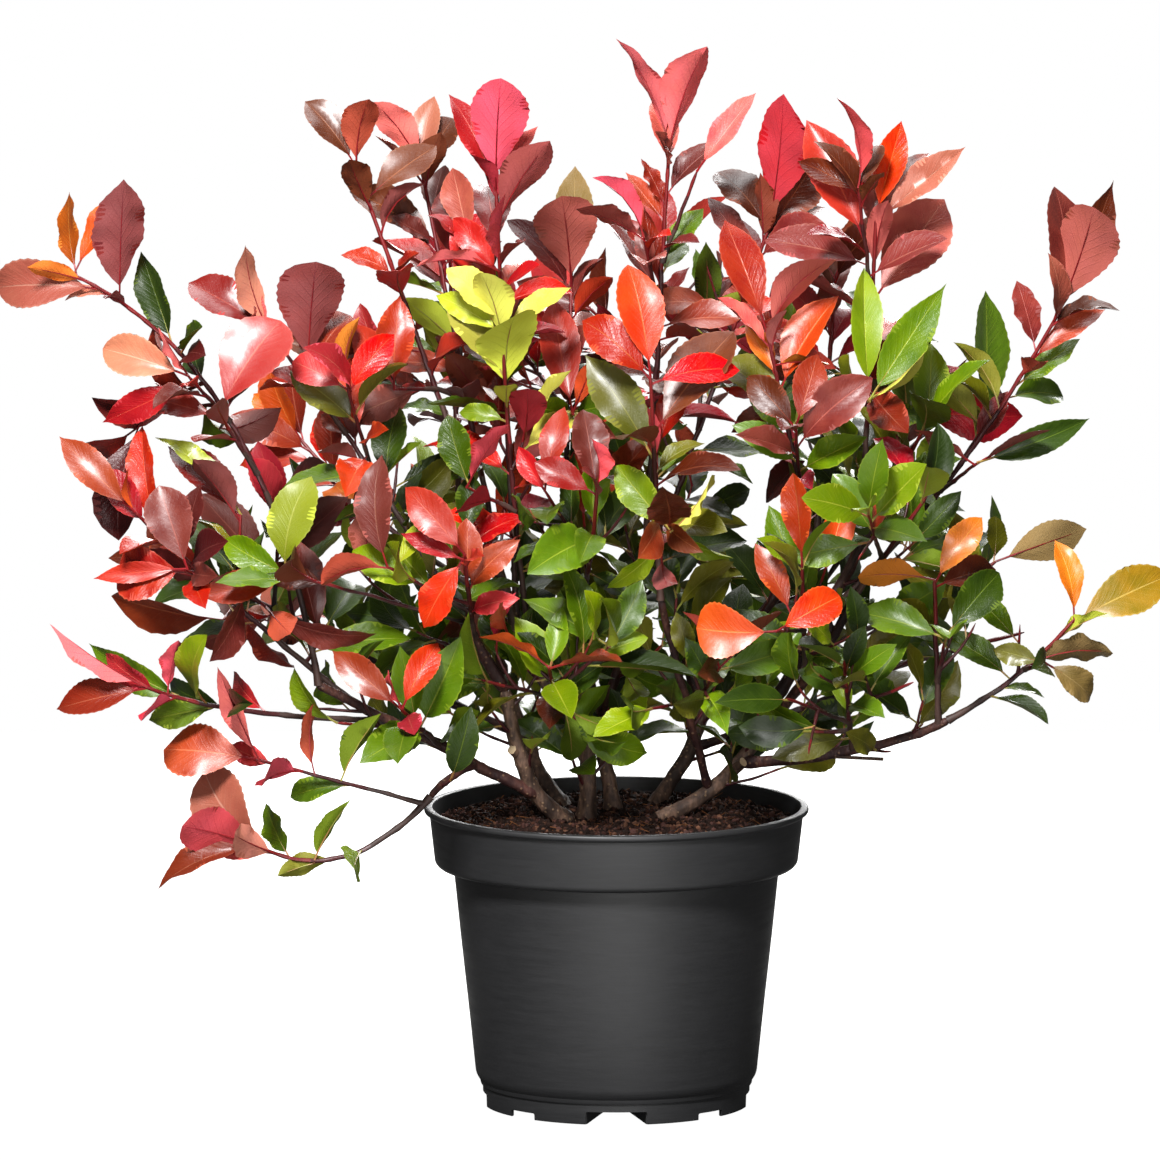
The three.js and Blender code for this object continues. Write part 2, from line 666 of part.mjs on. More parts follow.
// Leaf number n from the tip of a shoot: where its foot is, which way it points, which way its upper
// side faces, and its size.
function leafPlace(shoot, n) {
  const rule = leafRule;
  const inTuft = Math.min(n, rule.tuft - 1);
  const t = 1 - (rule.tipGap + inTuft * rule.tuftGap + (n - inTuft) * rule.gap) / shoot.length;
  const aim = shoot.aims?.[n];
  if (t < rule.bareShare || aim === null) return null;
  const draw = (channel, low, high) => lerp(low, high, chance(shoot.number, n, channel));
  const along = shoot.curve.getTangent(t);
  const bearing = shoot.turn + n * rule.turn + draw(1, -rule.turnPlay, rule.turnPlay);
  const steady = Math.min(rule.firstTilt + n * rule.tiltStep, rule.widestTilt);
  const tilt = steady + draw(2, -rule.tiltPlay, rule.tiltPlay);
  const way = along.clone().multiplyScalar(Math.cos(radians(tilt)));
  way.addScaledVector(roundShoot(along, bearing), Math.sin(radians(tilt)));
  way.z = Math.max(way.z + rule.lift - rule.droop * n, rule.lowest);
  if (aim) way.set(Math.sin(radians(aim[0])), aim[1], Math.cos(radians(aim[0])));
  way.normalize();
  const face = along.clone().addScaledVector(way, -along.dot(way)).normalize();
  if (aim) face.y -= Math.sign(aim[1]) * rule.aimedOut;
  else face.y += face.y > draw(3, -rule.facePlay, rule.facePlay) ? rule.turnOut : -rule.turnOut;
  face.addScaledVector(way, -face.dot(way)).normalize();
  const length = aim
    ? aim[2] * Math.hypot(1, aim[1])
    : rule.length * draw(4, rule.shortest, rule.longest);
  const width = aim ? aim[3] : length * rule.widthShare;
  return { foot: shoot.curve.getPoint(t), way, face, length, width };
}

// A leaf folded on its midrib: the foot, two raised margins and the tip, as four faces.
// spare swells it and start draws its foot out of the shoot, for the tests of free room.
function leafSolid({ foot, way, face, length, width }, spare = 0, start = -leafRule.sink) {
  const rule = leafRule;
  const across = way.clone().cross(face);
  const at = (lengthwise, sideways, raised) => {
    const point = foot.clone().addScaledVector(way, lengthwise);
    return point.addScaledVector(across, sideways).addScaledVector(face, raised);
  };
  const half = width / 2 + spare;
  const geometry = new THREE.BufferGeometry().setFromPoints([
    at(start, 0, -spare),
    at(length * rule.widest, half, length * rule.fold + spare),
    at(length + spare, 0, -length * rule.curl - spare),
    at(length * rule.widest, -half, length * rule.fold + spare),
  ]);
  geometry.setIndex([0, 1, 3, 1, 2, 3, 0, 2, 1, 0, 3, 2]);
  return solidOf(geometry);
}

// The pot and its compost are turned from profiles of radius and height.
function turned(profile) {
  const outline = profile.map(([radius, height]) => new THREE.Vector2(radius, height));
  return solidOf(new THREE.LatheGeometry(outline, pot.segments).rotateX(Math.PI / 2));
}

const collarBottom = pot.height - pot.collarHeight;
const ringInside = pot.ringRadius - pot.ringThickness;
// The inside of the pot, from its floor up to the top of the collar.
const inside = [
  [ringInside, pot.floorUnderside + pot.floorThickness],
  [pot.heelRadius - pot.wall, pot.heelHeight],
  [pot.waistRadius - pot.wall, collarBottom + pot.wall],
  [pot.collarFoot - pot.wall, collarBottom + pot.wall],
  [pot.collarTop - pot.wall, pot.height - pot.lipHeight],
];

function potSolid() {
  let body = turned([
    [0, 0],
    [pot.hubRadius, 0],
    [pot.hubRadius, pot.floorUnderside],
    [ringInside, pot.floorUnderside],
    [ringInside, 0],
    [pot.ringRadius - pot.bevel, 0],
    [pot.ringRadius, pot.ringHeight],
    [pot.ringRadius + pot.ringStep, pot.ringHeight],
    [pot.heelRadius, pot.heelHeight],
    [pot.waistRadius, collarBottom],
    [pot.collarFoot - pot.collarRound, collarBottom],
    [pot.collarFoot, collarBottom + pot.collarRound],
    [pot.collarTop, pot.height - pot.lipHeight - pot.bevel],
    [pot.rimRadius, pot.height - pot.lipHeight],
    [pot.rimRadius, pot.height - pot.bevel],
    [pot.rimRadius - pot.bevel, pot.height],
    [pot.collarTop - pot.wall + pot.bevel, pot.height],
    ...inside.toReversed(),
    [0, inside[0][1]],
  ]);
  for (const notch of notches) {
    for (let quarter = 0; quarter < 4; quarter++) {
      const cutter = new THREE.BoxGeometry(notch.width, 3 * pot.ringThickness, 2 * notch.height);
      cutter.translate(0, -pot.ringRadius, 0);
      cutter.rotateZ(radians(notch.first + 90 * quarter));
      body = body.subtract(solidOf(cutter));
    }
  }
  return body;
}

function compostSolid() {
  const gap = 1.5 * clearance;
  const climb = (compost.edge - collarBottom) / pot.collarHeight;
  return turned([
    [0, inside[0][1] + gap],
    ...inside.slice(0, -1).map(([radius, height]) => [radius - gap, height + gap]),
    [lerp(pot.collarFoot, pot.collarTop, climb) - pot.wall - gap, compost.edge],
    [compost.crownRadius, compost.crown],
    [0, compost.crown],
  ]);
}

const bush = new THREE.Group();
const materialOf = (colour, roughness) => new THREE.MeshStandardMaterial({ color: colour, roughness });
function place(name, solid, material) {
  const mesh = new THREE.Mesh(geometryOf(solid.simplify(slightest)), material);
  mesh.name = name;
  bush.add(mesh);
}

// Every solid so far with its box and whose it is, for the tests of free room.
const placed = [];
function remember(solid, node, shoot = null) {
  placed.push({ solid, box: solid.boundingBox(), node, shoot });
  return solid;
}

function crowded(solid, ignore) {
  const { min, max } = solid.boundingBox();
  return placed.some((other) => {
    if (ignore(other)) return false;
    if ([0, 1, 2].some((i) => other.box.min[i] > max[i] || other.box.max[i] < min[i])) return false;
    return !solid.intersect(other.solid).isEmpty();
  });
}

place("pot", remember(potSolid(), "pot"), materialOf("#2b2c2e", 0.6));
place("compost", remember(compostSolid(), "compost"), materialOf("#3a2218", 0.95));

// Limbs: each is cut back from the limbs before it.
const limbNamed = {};
for (const limb of limbs) {
  const parent = limb.on && limbNamed[limb.on[0]];
  const from = parent ? parent.curve.getPoint(limb.on[1]) : new THREE.Vector3(...limb.root, ground);
  limb.curve = sweep(from, new THREE.Vector3(...limb.to), limb);
  let body = limbSolid(limb);
  for (const other of Object.values(limbNamed)) body = body.subtract(other.swollen);
  limb.swollen = limbSolid(limb, clearance);
  limbNamed[limb.name] = limb;
  place(limb.name, remember(largest(body), limb.name), materialOf("#5b4034", 0.8));
}

// Shoots: each is bowed aside, as little as will do, until it is clear of what is there already.
const bows = [[0, 0]];
for (const reach of detour.reaches) {
  for (let k = 0; k < detour.ways; k++) {
    const angle = (k / detour.ways) * 2 * Math.PI;
    bows.push([reach * Math.cos(angle), reach * Math.sin(angle)]);
  }
}
let shootCount = 0;
for (const mass of masses) {
  const parent = limbNamed[mass.from[0]];
  const related = (other) => other.node === parent.name || other.node === mass.name;
  mass.solids = [];
  for (const shoot of mass.shoots) {
    shoot.number = ++shootCount;
    shoot.lead = shoot.at === undefined;
    const [holder, share] = shoot.lead ? [parent, mass.from[1]] : [mass.shoots[0], shoot.at];
    const from = holder.curve.getPoint(share);
    for (const bow of bows) {
      shoot.curve = sweep(from, new THREE.Vector3(...shoot.to), { ...shoot, bow });
      shoot.free = !crowded(twigSolid(shoot, room), related);
      if (shoot.free) break;
    }
    if (!shoot.free) console.warn(`${mass.name}: shoot ${shoot.number} finds no free path`);
    shoot.length = shoot.curve.getLength();
    const twig = remember(twigSolid(shoot), mass.name, shoot);
    mass.solids.push(twig.subtract(parent.swollen));
  }
}

// Leaves: all the tips first, then downwards, each only where there is room for it.
const mostLeaves = Math.max(...masses.flatMap((mass) => mass.shoots.map((shoot) => shoot.leaves)));
for (let n = 0; n < mostLeaves; n++) {
  for (const mass of masses) {
    for (const shoot of mass.shoots) {
      const spot = n < shoot.leaves && leafPlace(shoot, n);
      if (!spot) continue;
      const whole = leafSolid(spot, room);
      const blade = leafSolid(spot, room, leafRule.stalkShare * spot.length);
      if (crowded(whole, (other) => other.node === mass.name)) continue;
      if (crowded(blade, (other) => other.shoot === shoot)) continue;
      mass.solids.push(remember(leafSolid(spot), mass.name));
    }
  }
}
for (const mass of masses) {
  const body = largest(wasm.Manifold.union(mass.solids));
  place(mass.name, body, materialOf(tints[mass.tint], 0.45));
}

export default bush;
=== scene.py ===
import math

import bmesh
import bpy
import numpy as np
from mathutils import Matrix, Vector, noise
from mathutils.bvhtree import BVHTree


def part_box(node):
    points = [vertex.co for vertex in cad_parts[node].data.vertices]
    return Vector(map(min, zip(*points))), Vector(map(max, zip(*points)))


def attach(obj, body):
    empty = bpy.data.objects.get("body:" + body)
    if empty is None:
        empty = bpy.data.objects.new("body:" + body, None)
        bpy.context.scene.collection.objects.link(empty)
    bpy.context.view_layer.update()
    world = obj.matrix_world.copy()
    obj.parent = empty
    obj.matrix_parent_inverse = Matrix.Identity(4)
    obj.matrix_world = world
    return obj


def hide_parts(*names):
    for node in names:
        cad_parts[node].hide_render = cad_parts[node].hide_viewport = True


# Red robin photinia in its nursery pot. Growth is worked out in millimetres, as in the solids,
# and every mesh is made in metres, with +Z up and -Y the front.
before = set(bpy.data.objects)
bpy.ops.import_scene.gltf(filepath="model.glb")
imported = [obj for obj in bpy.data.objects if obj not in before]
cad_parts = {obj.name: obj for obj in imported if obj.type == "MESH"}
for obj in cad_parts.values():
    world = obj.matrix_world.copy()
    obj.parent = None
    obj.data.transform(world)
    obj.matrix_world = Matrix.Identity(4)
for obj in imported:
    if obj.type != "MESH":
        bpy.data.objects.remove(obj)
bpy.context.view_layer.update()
bpy.ops.object.select_all(action="DESELECT")
mm = 0.001


def stage(text):
    print("scene:", text)


def mix(a, b, share):
    return a + (b - a) * share


def colour(hexCode, alpha=1.0):
    parts = [int(hexCode[i:i + 2], 16) / 255 for i in (1, 3, 5)]
    return [p / 12.92 if p <= 0.04045 else ((p + 0.055) / 1.055) ** 2.4 for p in parts] + [alpha]


# The camera looks along +Y, a little down, from far off.
cameraSettings = {
    "target": (-0.0243, 0.0, 0.3533),
    "elevation": 8.4,
    "distance": 12.0,
    "viewWidth": 0.7734,
    "sensor": 36.0,
}
lightSettings = {
    "sky": (1.0, 0.11),  # brightness seen behind the floor, and brightness as light
    "aim": (0, 0, 0.4),
    "key": {"place": (-0.6, -2.3, 2.4), "size": 0.62, "power": 228},
    "fill": {"place": (0.4, -3.0, 0.4), "size": 1.2, "power": 38},
    "top": {"place": (0.2, 0.9, 2.7), "size": 1.8, "power": 70},
    "rear": {"place": (0.5, 2.8, 1.5), "size": 1.3, "power": 90},
}
# The floor is paler before and behind the pot than at its sides, which darkens the pot's edges.
floorSettings = {
    "size": 3.2, "paler": "#b4b4b2", "darker": "#202020", "halfWidth": (0.16, 0.42), "away": (0.1, 0.35),
    "glowColour": "#ffffff", "glow": (1.0, 0.04),
}


def makeCamera():
    s = cameraSettings
    tilt = math.radians(s["elevation"])
    back = Vector((0, -math.cos(tilt), math.sin(tilt)))
    bpy.ops.object.camera_add(location=Vector(s["target"]) + back * s["distance"])
    camera = bpy.context.object
    camera.name = "mainCamera"
    camera.rotation_euler = (-back).to_track_quat("-Z", "Y").to_euler()
    camera.data.sensor_width = s["sensor"]
    camera.data.lens = s["sensor"] * s["distance"] / s["viewWidth"]
    bpy.context.scene.camera = camera


# Short ways to add nodes.
def addNode(tree, kind, inputs=(), **settings):
    node = tree.nodes.new("ShaderNode" + kind)
    for name, value in settings.items():
        setattr(node, name, value)
    for name, value in dict(inputs).items():
        socket = node.inputs[name]
        if isinstance(value, bpy.types.NodeSocket):
            tree.links.new(value, socket)
        else:
            socket.default_value = value
    return node


def calculate(tree, operation, *values, clamp=False):
    node = addNode(tree, "Math", operation=operation, use_clamp=clamp)
    for i, value in enumerate(values):
        if isinstance(value, bpy.types.NodeSocket):
            tree.links.new(value, node.inputs[i])
        else:
            node.inputs[i].default_value = value
    return node.outputs[0]


# From 0 below the low value to 1 above the high one. A fall is the other way round.
def ramp(tree, value, low, high):
    node = addNode(tree, "MapRange", {"Value": value, "From Min": low, "From Max": high})
    node.interpolation_type = "SMOOTHSTEP"
    return node.outputs["Result"]


def fall(tree, value, low, high):
    return calculate(tree, "SUBTRACT", 1.0, ramp(tree, value, low, high))


def blend(tree, factor, a, b):
    node = addNode(tree, "Mix", data_type="RGBA")
    for socket, value in ((node.inputs[0], factor), (node.inputs[6], a), (node.inputs[7], b)):
        if isinstance(value, bpy.types.NodeSocket):
            tree.links.new(value, socket)
        else:
            socket.default_value = value
    return node.outputs[2]


# A brightness that looks one way to the camera and lights the rest another way.
def glowing(tree, seen, asLight, socket):
    cameraRay = addNode(tree, "LightPath").outputs["Is Camera Ray"]
    level = addNode(tree, "MapRange", {"Value": cameraRay, "To Min": asLight, "To Max": seen})
    tree.links.new(level.outputs["Result"], socket)


def makeLights():
    for name in ("key", "fill", "top", "rear"):
        s = lightSettings[name]
        bpy.ops.object.light_add(type="AREA", location=s["place"])
        light = bpy.context.object
        light.name = name + "Light"
        light.data.size = s["size"]
        light.data.energy = s["power"]
        towards = Vector(lightSettings["aim"]) - Vector(s["place"])
        light.rotation_euler = towards.to_track_quat("-Z", "Y").to_euler()
    world = bpy.data.worlds.new("studio")
    world.use_nodes = True
    nodes = world.node_tree.nodes
    nodes["Background"].inputs["Color"].default_value = colour("#ffffff")
    glowing(world.node_tree, *lightSettings["sky"], nodes["Background"].inputs["Strength"])
    bpy.context.scene.world = world
    bpy.context.scene.view_settings.view_transform = "Standard"


def makeFloor():
    s = floorSettings
    bpy.ops.mesh.primitive_plane_add(size=s["size"])
    floor = bpy.context.object
    floor.name = "floor"
    material = bpy.data.materials.new("floorPaper")
    material.use_nodes = True
    tree = material.node_tree
    shader = tree.nodes["Principled BSDF"]
    x, y, _ = addNode(tree, "SeparateXYZ", {0: addNode(tree, "TexCoord").outputs["Object"]}).outputs
    away = ramp(tree, calculate(tree, "ABSOLUTE", y), *s["away"])
    beside = fall(tree, calculate(tree, "ABSOLUTE", x), *s["halfWidth"])
    pale = calculate(tree, "MULTIPLY", away, beside)
    tone = blend(tree, pale, colour(s["darker"]), colour(s["paler"]))
    tree.links.new(tone, shader.inputs["Base Color"])
    shader.inputs["Roughness"].default_value = 1
    shader.inputs["Specular IOR Level"].default_value = 0
    shader.inputs["Emission Color"].default_value = colour(s["glowColour"])
    glowing(tree, *s["glow"], shader.inputs["Emission Strength"])
    floor.data.materials.append(material)


makeCamera()
makeLights()
makeFloor()
stage("camera, light and floor")


# The solids' own rule of growth. A shoot or leaf keeps some room to what it doesn't grow from.
ground = 197.3  # where the stems leave the compost
room = 0.7
shootRadius = {"lead": 2.6, "side": 2.0, "tip": 1.4}
facets = {"lead": (5, 3), "side": (3, 3)}
detour = {"reaches": (7, 14, 22, 30), "ways": 6}
leafRule = {
    "length": 72, "shortest": 0.8, "longest": 1.15, "widthShare": 0.43, "widest": 0.6,
    "stalkShare": 0.12, "fold": 0.05, "curl": 0.09, "sink": 1,
    "tuft": 3, "tipGap": 1, "tuftGap": 3, "gap": 18, "bareShare": 0.14,
    "turn": 137.5, "turnPlay": 16, "firstTilt": 22, "tiltStep": 8, "tiltPlay": 9, "widestTilt": 68,
    "lift": 0.22, "droop": 0.045, "lowest": -0.22, "turnOut": 0.45, "facePlay": 0.4, "aimedOut": 1.1,
    "betweenStep": 50,
}


def limb(name, to, radii, root=None, on=None, lean=0, sag=0):
    return {"name": name, "to": to, "radii": radii, "root": root, "on": on, "lean": lean, "sag": sag}


# Stems start on the compost, boughs on another limb at a share of its length.
limbs = [
    limb("stem_left", (-74, -60, 288), (5.8, 4.4), root=(-36, -35), lean=0.25),
    limb("stem_centre", (-19, -28, 250), (5.6, 5.2), root=(-20, -28)),
    limb("stem_back", (-16, 22, 269), (5, 4.2), root=(-2, 12)),
    limb("stem_right", (106, 0, 272), (5.2, 4.3), root=(34, -25), lean=0.2),
    limb("stem_rear_right", (70, 75, 280), (5, 4), root=(28, 40), lean=0.1),
    limb("stem_rear_left", (-75, 70, 275), (5, 4), root=(-38, 34), lean=0.1),
    limb("bough_low_left", (-197, -115, 300), (4.1, 2.9), on=("stem_left", 0.3)),
    limb("bough_left_up", (-118, -90, 367), (4.2, 3.1), on=("stem_left", 1)),
    limb("bough_centre_left", (-84, -45, 387), (4.9, 3.4), on=("stem_centre", 1), lean=0.15),
    limb("bough_centre_up", (-34, 5, 406), (4, 3), on=("stem_back", 1)),
    limb("bough_centre_right", (19, 25, 363), (3.5, 2.8), on=("stem_back", 0.75), lean=0.1),
    limb("bough_red", (29, -100, 355), (2.9, 2.4), on=("stem_right", 0.3)),
    limb("bough_right_up", (173, 20, 399), (4.2, 3.2), on=("stem_right", 1), lean=0.05),
    limb("bough_right_mid", (156, -70, 350), (3.5, 2.8), on=("stem_right", 0.8), lean=0.1),
    limb("bough_right_low", (220, -60, 268), (3.8, 2.7), on=("stem_right", 0.55), lean=0.2),
    limb("bough_hanging", (-123, -118, 226), (2.6, 2.3), on=("bough_low_left", 0.28), sag=-6),
    limb("bough_rear_right", (135, 125, 365), (3.9, 3), on=("stem_rear_right", 1)),
    limb("bough_rear_mid", (25, 140, 395), (3.5, 2.8), on=("stem_rear_right", 0.7), lean=0.15),
    limb("bough_rear_left", (-105, 125, 370), (3.9, 3), on=("stem_rear_left", 1)),
    limb("bough_rear_low_left", (-175, 85, 295), (3.3, 2.7), on=("stem_rear_left", 0.6), lean=0.1),
    limb("bough_rear_low_right", (185, 95, 280), (3.3, 2.7), on=("stem_rear_right", 0.45), lean=0.1),
]


def shoot(to, leaves, turn, looks="green", at=None, lean=0, sag=0, aims=()):
    return {
        "to": to, "leaves": leaves, "turn": turn, "looks": looks.split(), "at": at,
        "lean": lean, "sag": sag, "aims": aims,
    }


# Each mass: its node, the limb it grows from and where, then its shoots. The first one leads.
# looks: the colours of a shoot's leaves from its tip down. Those below the last one named follow restLook.
# aims: its top leaves one by one, where they have their own place: degrees clockwise from straight up,
# how far they lean away (a minus sign: forward), the length as seen from the front, and the width.
masses = [
    ("leaves_left_outer", ("bough_low_left", 1), [
        shoot((-358, -140, 577), 11, 85, "vermilion orange rose blush maroon maroon maroon deep",
              lean=-0.28,
              aims=[(27, 0.05, 69, 20), (-8, 0.55, 54, 22), None, (-95, 0.2, 74, 33), (2, -0.3, 86, 36),
                    None, None, (-18, 0.2, 64, 24)]),
        shoot((-283, -150, 512), 6, 355, "blush pink crimson maroon", at=0.5,
              aims=[(-74, 0.3, 61, 26), (-32, -0.2, 41, 14), (-120, 0.2, 68, 20)]),
        shoot((-262, -146, 486), 4, 355, "rose crimson maroon", at=0.38,
              aims=[(28, 0.25, 72, 43), (-78, 0.3, 56, 24)]),
    ]),
    ("leaves_left_low", ("bough_low_left", 0.84), [
        shoot((-318, -165, 424), 9, 170, "brick vermilion crimson scarlet maroon",
              aims=[(-46, 0.2, 70, 22), (-14, -0.2, 32, 15), None, (-5, 0.25, 72, 19)]),
        shoot((-284, -185, 388), 4, 20, "crimson brick maroon", at=0.6,
              aims=[(-92, 0.1, 60, 14), (-100, 0.3, 48, 38), (-19, 0.2, 58, 31)]),
        shoot((-248, -130, 418), 6, 120, "lime brick maroon olive", at=0.5,
              aims=[(-44, 0.2, 76, 17), (-45, 0.4, 66, 28)]),
    ]),
    ("leaves_low_sprig", ("bough_low_left", 0.68), [
        shoot((-311, -160, 306), 8, 170, "pink brick rose rose green fresh", lean=0.2,
              aims=[(-61, -0.2, 75, 18), (-108, 0.2, 66, 26), None, (8, -0.2, 38, 20), (-67, 0.5, 75, 22)]),
    ]),
    ("leaves_hanging", ("bough_hanging", 1), [
        shoot((-238, -135, 196), 7, 350, "brick rose blush green green olive", sag=48,
              aims=[(-107, 0.1, 75, 22), (-71, -0.3, 57, 36), (-46, 0.2, 66, 40), (-28, 0.3, 38, 22),
                    (27, -0.2, 50, 17), (-104, -0.2, 42, 16)]),
        shoot((-240, -140, 255), 6, 200, "brick pink rose rose brick green", at=0.04,
              aims=[(-81, 0.2, 62, 36), (-22, -0.2, 72, 15), None, None, (-4, -0.2, 52, 18),
                    (24, -0.3, 55, 20)]),
    ]),
    ("leaves_left_crown", ("bough_left_up", 1), [
        shoot((-205, -62, 502), 10, 270, "maroon brick", aims=[(5, -0.3, 80, 46), (35, 0.3, 50, 32)]),
        shoot((-232, -88, 535), 4, 0, "crimson blush pink maroon", at=0.7,
              aims=[(-61, 0.3, 60, 30), (-14, -0.3, 66, 28)]),
        shoot((-178, -115, 500), 7, 100, "orange rose scarlet olive", at=0.5,
              aims=[(4, -0.2, 48, 18), (-65, 0.3, 42, 22), (35, 0.2, 50, 20)]),
    ]),
    ("leaves_left_front", ("bough_left_up", 0.45), [
        shoot((-100, -165, 395), 8, 30, "crimson scarlet crimson brick", lean=0.1,
              aims=[(-43, 0.2, 61, 26), (-146, 0.15, 56, 24), (-70, 0.2, 46, 13)]),
        shoot((-152, -150, 385), 6, 60, "dusky brick lime fresh", at=0.4,
              aims=[(-10, 0.2, 74, 26), (-98, -0.45, 50, 22), (40, 0.2, 44, 18)]),
        shoot((-219, -162, 382), 4, 60, "lime green", at=0.25,
              aims=[(8, 0.15, 66, 34), (-66, 0.3, 50, 20)]),
    ]),
    ("leaves_top_left", ("bough_centre_left", 1), [
        shoot((-174, -20, 636), 12, 200, "bronze brick bronze bronze maroon maroon brick",
              aims=[(-38, 0.2, 53, 24), (9, -0.3, 52, 25), None, (48, 0.4, 55, 28), None, None,
                    (-66, 0.2, 38, 16)]),
        shoot((-148, -75, 492), 6, 100, "scarlet crimson maroon", at=0.4,
              aims=[(4, 0.1, 62, 26), (-34, 0.7, 50, 22)]),
    ]),
    ("leaves_top_rose", ("bough_centre_left", 0.82), [
        shoot((-130, 25, 628), 12, 20, "pink blush bronze maroon maroon bronze",
              aims=[(-29, -0.3, 58, 24), (4, 0.4, 50, 20), (28, 0.3, 44, 26), None, None, (-56, 0.3, 76, 25)
                    ]),
        shoot((-110, 70, 560), 7, 300, "crimson maroon", at=0.5),
    ]),
    ("leaves_top_crimson", ("bough_centre_left", 0.66), [
        shoot((-80, -40, 622), 13, 90, "rose crimson pink dusky maroon",
              aims=[(0, -0.35, 80, 37), (-23, 0.3, 72, 24), (25, 0.35, 54, 15)]),
        shoot((-98, -45, 586), 4, 20, "dusky crimson maroon", at=0.66, aims=[(-10, 0.3, 50, 26)]),
        shoot((-78, -75, 574), 4, 95, "rose pink crimson", at=0.68,
              aims=[(0, -0.4, 50, 36), (-80, -0.2, 56, 15), (-41, 0.3, 50, 20)]),
    ]),
    ("leaves_lime", ("bough_centre_left", 0.5), [
        shoot((-76, -105, 541), 12, 90, "pear pear lime pear lime fresh", lean=0.12,
              aims=[(-40, 0.12, 52, 28), (56, 0.3, 52, 18), (-62, 0.4, 52, 18), (27, 0.5, 40, 13),
                    (-1, -0.5, 60, 44), (-78, 0.3, 34, 13)]),
        shoot((-100, -95, 430), 6, 40, "rose green fresh", at=0.5,
              aims=[(31, -0.3, 54, 24), (-20, 0.2, 50, 24)]),
    ]),
    ("leaves_dusky", ("bough_centre_up", 1), [
        shoot((-30, 40, 546), 11, 90, "dusky taupe maroon", aims=[(-3, -0.35, 66, 41), (2, 0.5, 82, 28)]),
        shoot((-29, -62, 474), 6, 150, "crimson scarlet", at=0.45, lean=0.1,
              aims=[(-13, 0.5, 76, 26), (18, -0.3, 42, 14)]),
        shoot((-70, 60, 510), 6, 320, "green deep", at=0.4),
    ]),
    ("leaves_spire", ("bough_centre_right", 1), [
        shoot((35, 0, 645), 13, 335, "pink pink dusky maroon brick maroon green brick",
              aims=[(-24, -0.2, 86, 20), (15, -0.3, 80, 33), None, None, (-22, 0.3, 36, 13), None,
                    (35, 0.2, 44, 18), (-15, 0.2, 54, 15)]),
        shoot((54, -6, 630), 1, 170, "pink", at=0.72, aims=[(41, 0.2, 66, 19)]),
        shoot((18, -25, 588), 4, 40, "rose dusky", at=0.6, aims=[(-36, -0.2, 56, 18), (-58, -0.3, 50, 36)]),
    ]),
    ("leaves_scarlet", ("bough_red", 1), [
        shoot((22, -135, 510), 11, 60, "scarlet vermilion scarlet brick bronze olive",
              aims=[(-7, 0.2, 75, 31), (-50, 0.25, 62, 27), (76, 0.3, 60, 22), None, (36, 0.3, 86, 42),
                    (-31, 0.2, 82, 30)]),
        shoot((36, -150, 407), 6, 150, "pear fresh", at=0.4, aims=[(38, -0.3, 48, 30), (-40, 0.2, 56, 24)]),
    ]),
    ("leaves_centre_front", ("bough_centre_up", 0.5), [
        shoot((-13, -130, 434), 9, 80, "rose maroon crimson", lean=0.2,
              aims=[(0, -0.35, 34, 26), (-12, 0.3, 56, 24), (-60, 0.1, 46, 20)]),
        shoot((-48, -110, 430), 6, 20, "crimson crimson", at=0.5,
              aims=[(14, 0.3, 57, 20), (-35, 0.2, 36, 14)]),
        shoot((5, -45, 300), 5, 130, "fresh green", at=0.25),
    ]),
    ("leaves_top_middle", ("bough_centre_right", 0.6), [
        shoot((102, 30, 588), 13, 95, "crimson bronze bronze maroon",
              aims=[(10, -0.35, 96, 40), (-38, 0.3, 52, 34), (36, 0.35, 50, 34)]),
        shoot((60, 60, 520), 7, 300, "green deep", at=0.5),
    ]),
    ("leaves_rose_right", ("bough_right_mid", 0.75), [
        shoot((99, -75, 532), 12, 50, "brick pink maroon orange vermilion olive",
              aims=[(-23, 0.3, 78, 28), (34, -0.3, 72, 36), None, (80, -0.4, 36, 18), (26, 0.25, 72, 32),
                    (-48, 0.3, 60, 30)]),
        shoot((118, -115, 473), 6, 160, "brick bronze maroon", at=0.5,
              aims=[(20, 0.3, 50, 22), (-40, 0.3, 48, 22)]),
    ]),
    ("leaves_top_right", ("bough_right_up", 0.85), [
        shoot((172, -30, 602), 12, 195, "vermilion blush dusky maroon pink dusky green",
              aims=[(17, 0.2, 66, 21), (52, 0.05, 76, 22), (36, 0.7, 60, 22), None, (12, -0.4, 60, 17),
                    (38, 0.3, 82, 42)]),
        shoot((160, -52, 625), 6, 30, "rose bronze bronze maroon crimson", at=0.72,
              aims=[(-7, -0.3, 64, 30), (24, 0.4, 34, 17), (-60, 0.5, 46, 15), None, (-24, 0.3, 88, 33)]),
        shoot((167, -80, 484), 6, 100, "lime green pear fresh", at=0.5,
              aims=[(-28, -0.5, 38, 28), (33, 0.3, 90, 28), (50, -0.5, 48, 17), (-5, 0.3, 86, 23)]),
    ]),
    ("leaves_right_green", ("bough_right_up", 0.65), [
        shoot((205, -35, 462), 9, 160, "green fresh deep"),
        shoot((195, 45, 460), 6, 240, "fresh deep", at=0.5),
    ]),
    ("leaves_right_spray", ("bough_right_up", 0.45), [
        shoot((296, -20, 540), 12, 90, "maroon dusky bronze maroon brick green olive", lean=0.08,
              aims=[(2, 0.2, 81, 38), (17, -0.35, 80, 40), (28, 0.5, 94, 26), None, (52, 0.2, 64, 16),
                    (55, 0.2, 54, 19), (-28, -0.2, 58, 16)]),
        shoot((246, 8, 458), 5, 0, "green olive", at=0.55, aims=[(1, 0.4, 86, 41), (-40, -0.2, 50, 20)]),
        shoot((240, -65, 442), 5, 180, "deep maroon dusky", at=0.45,
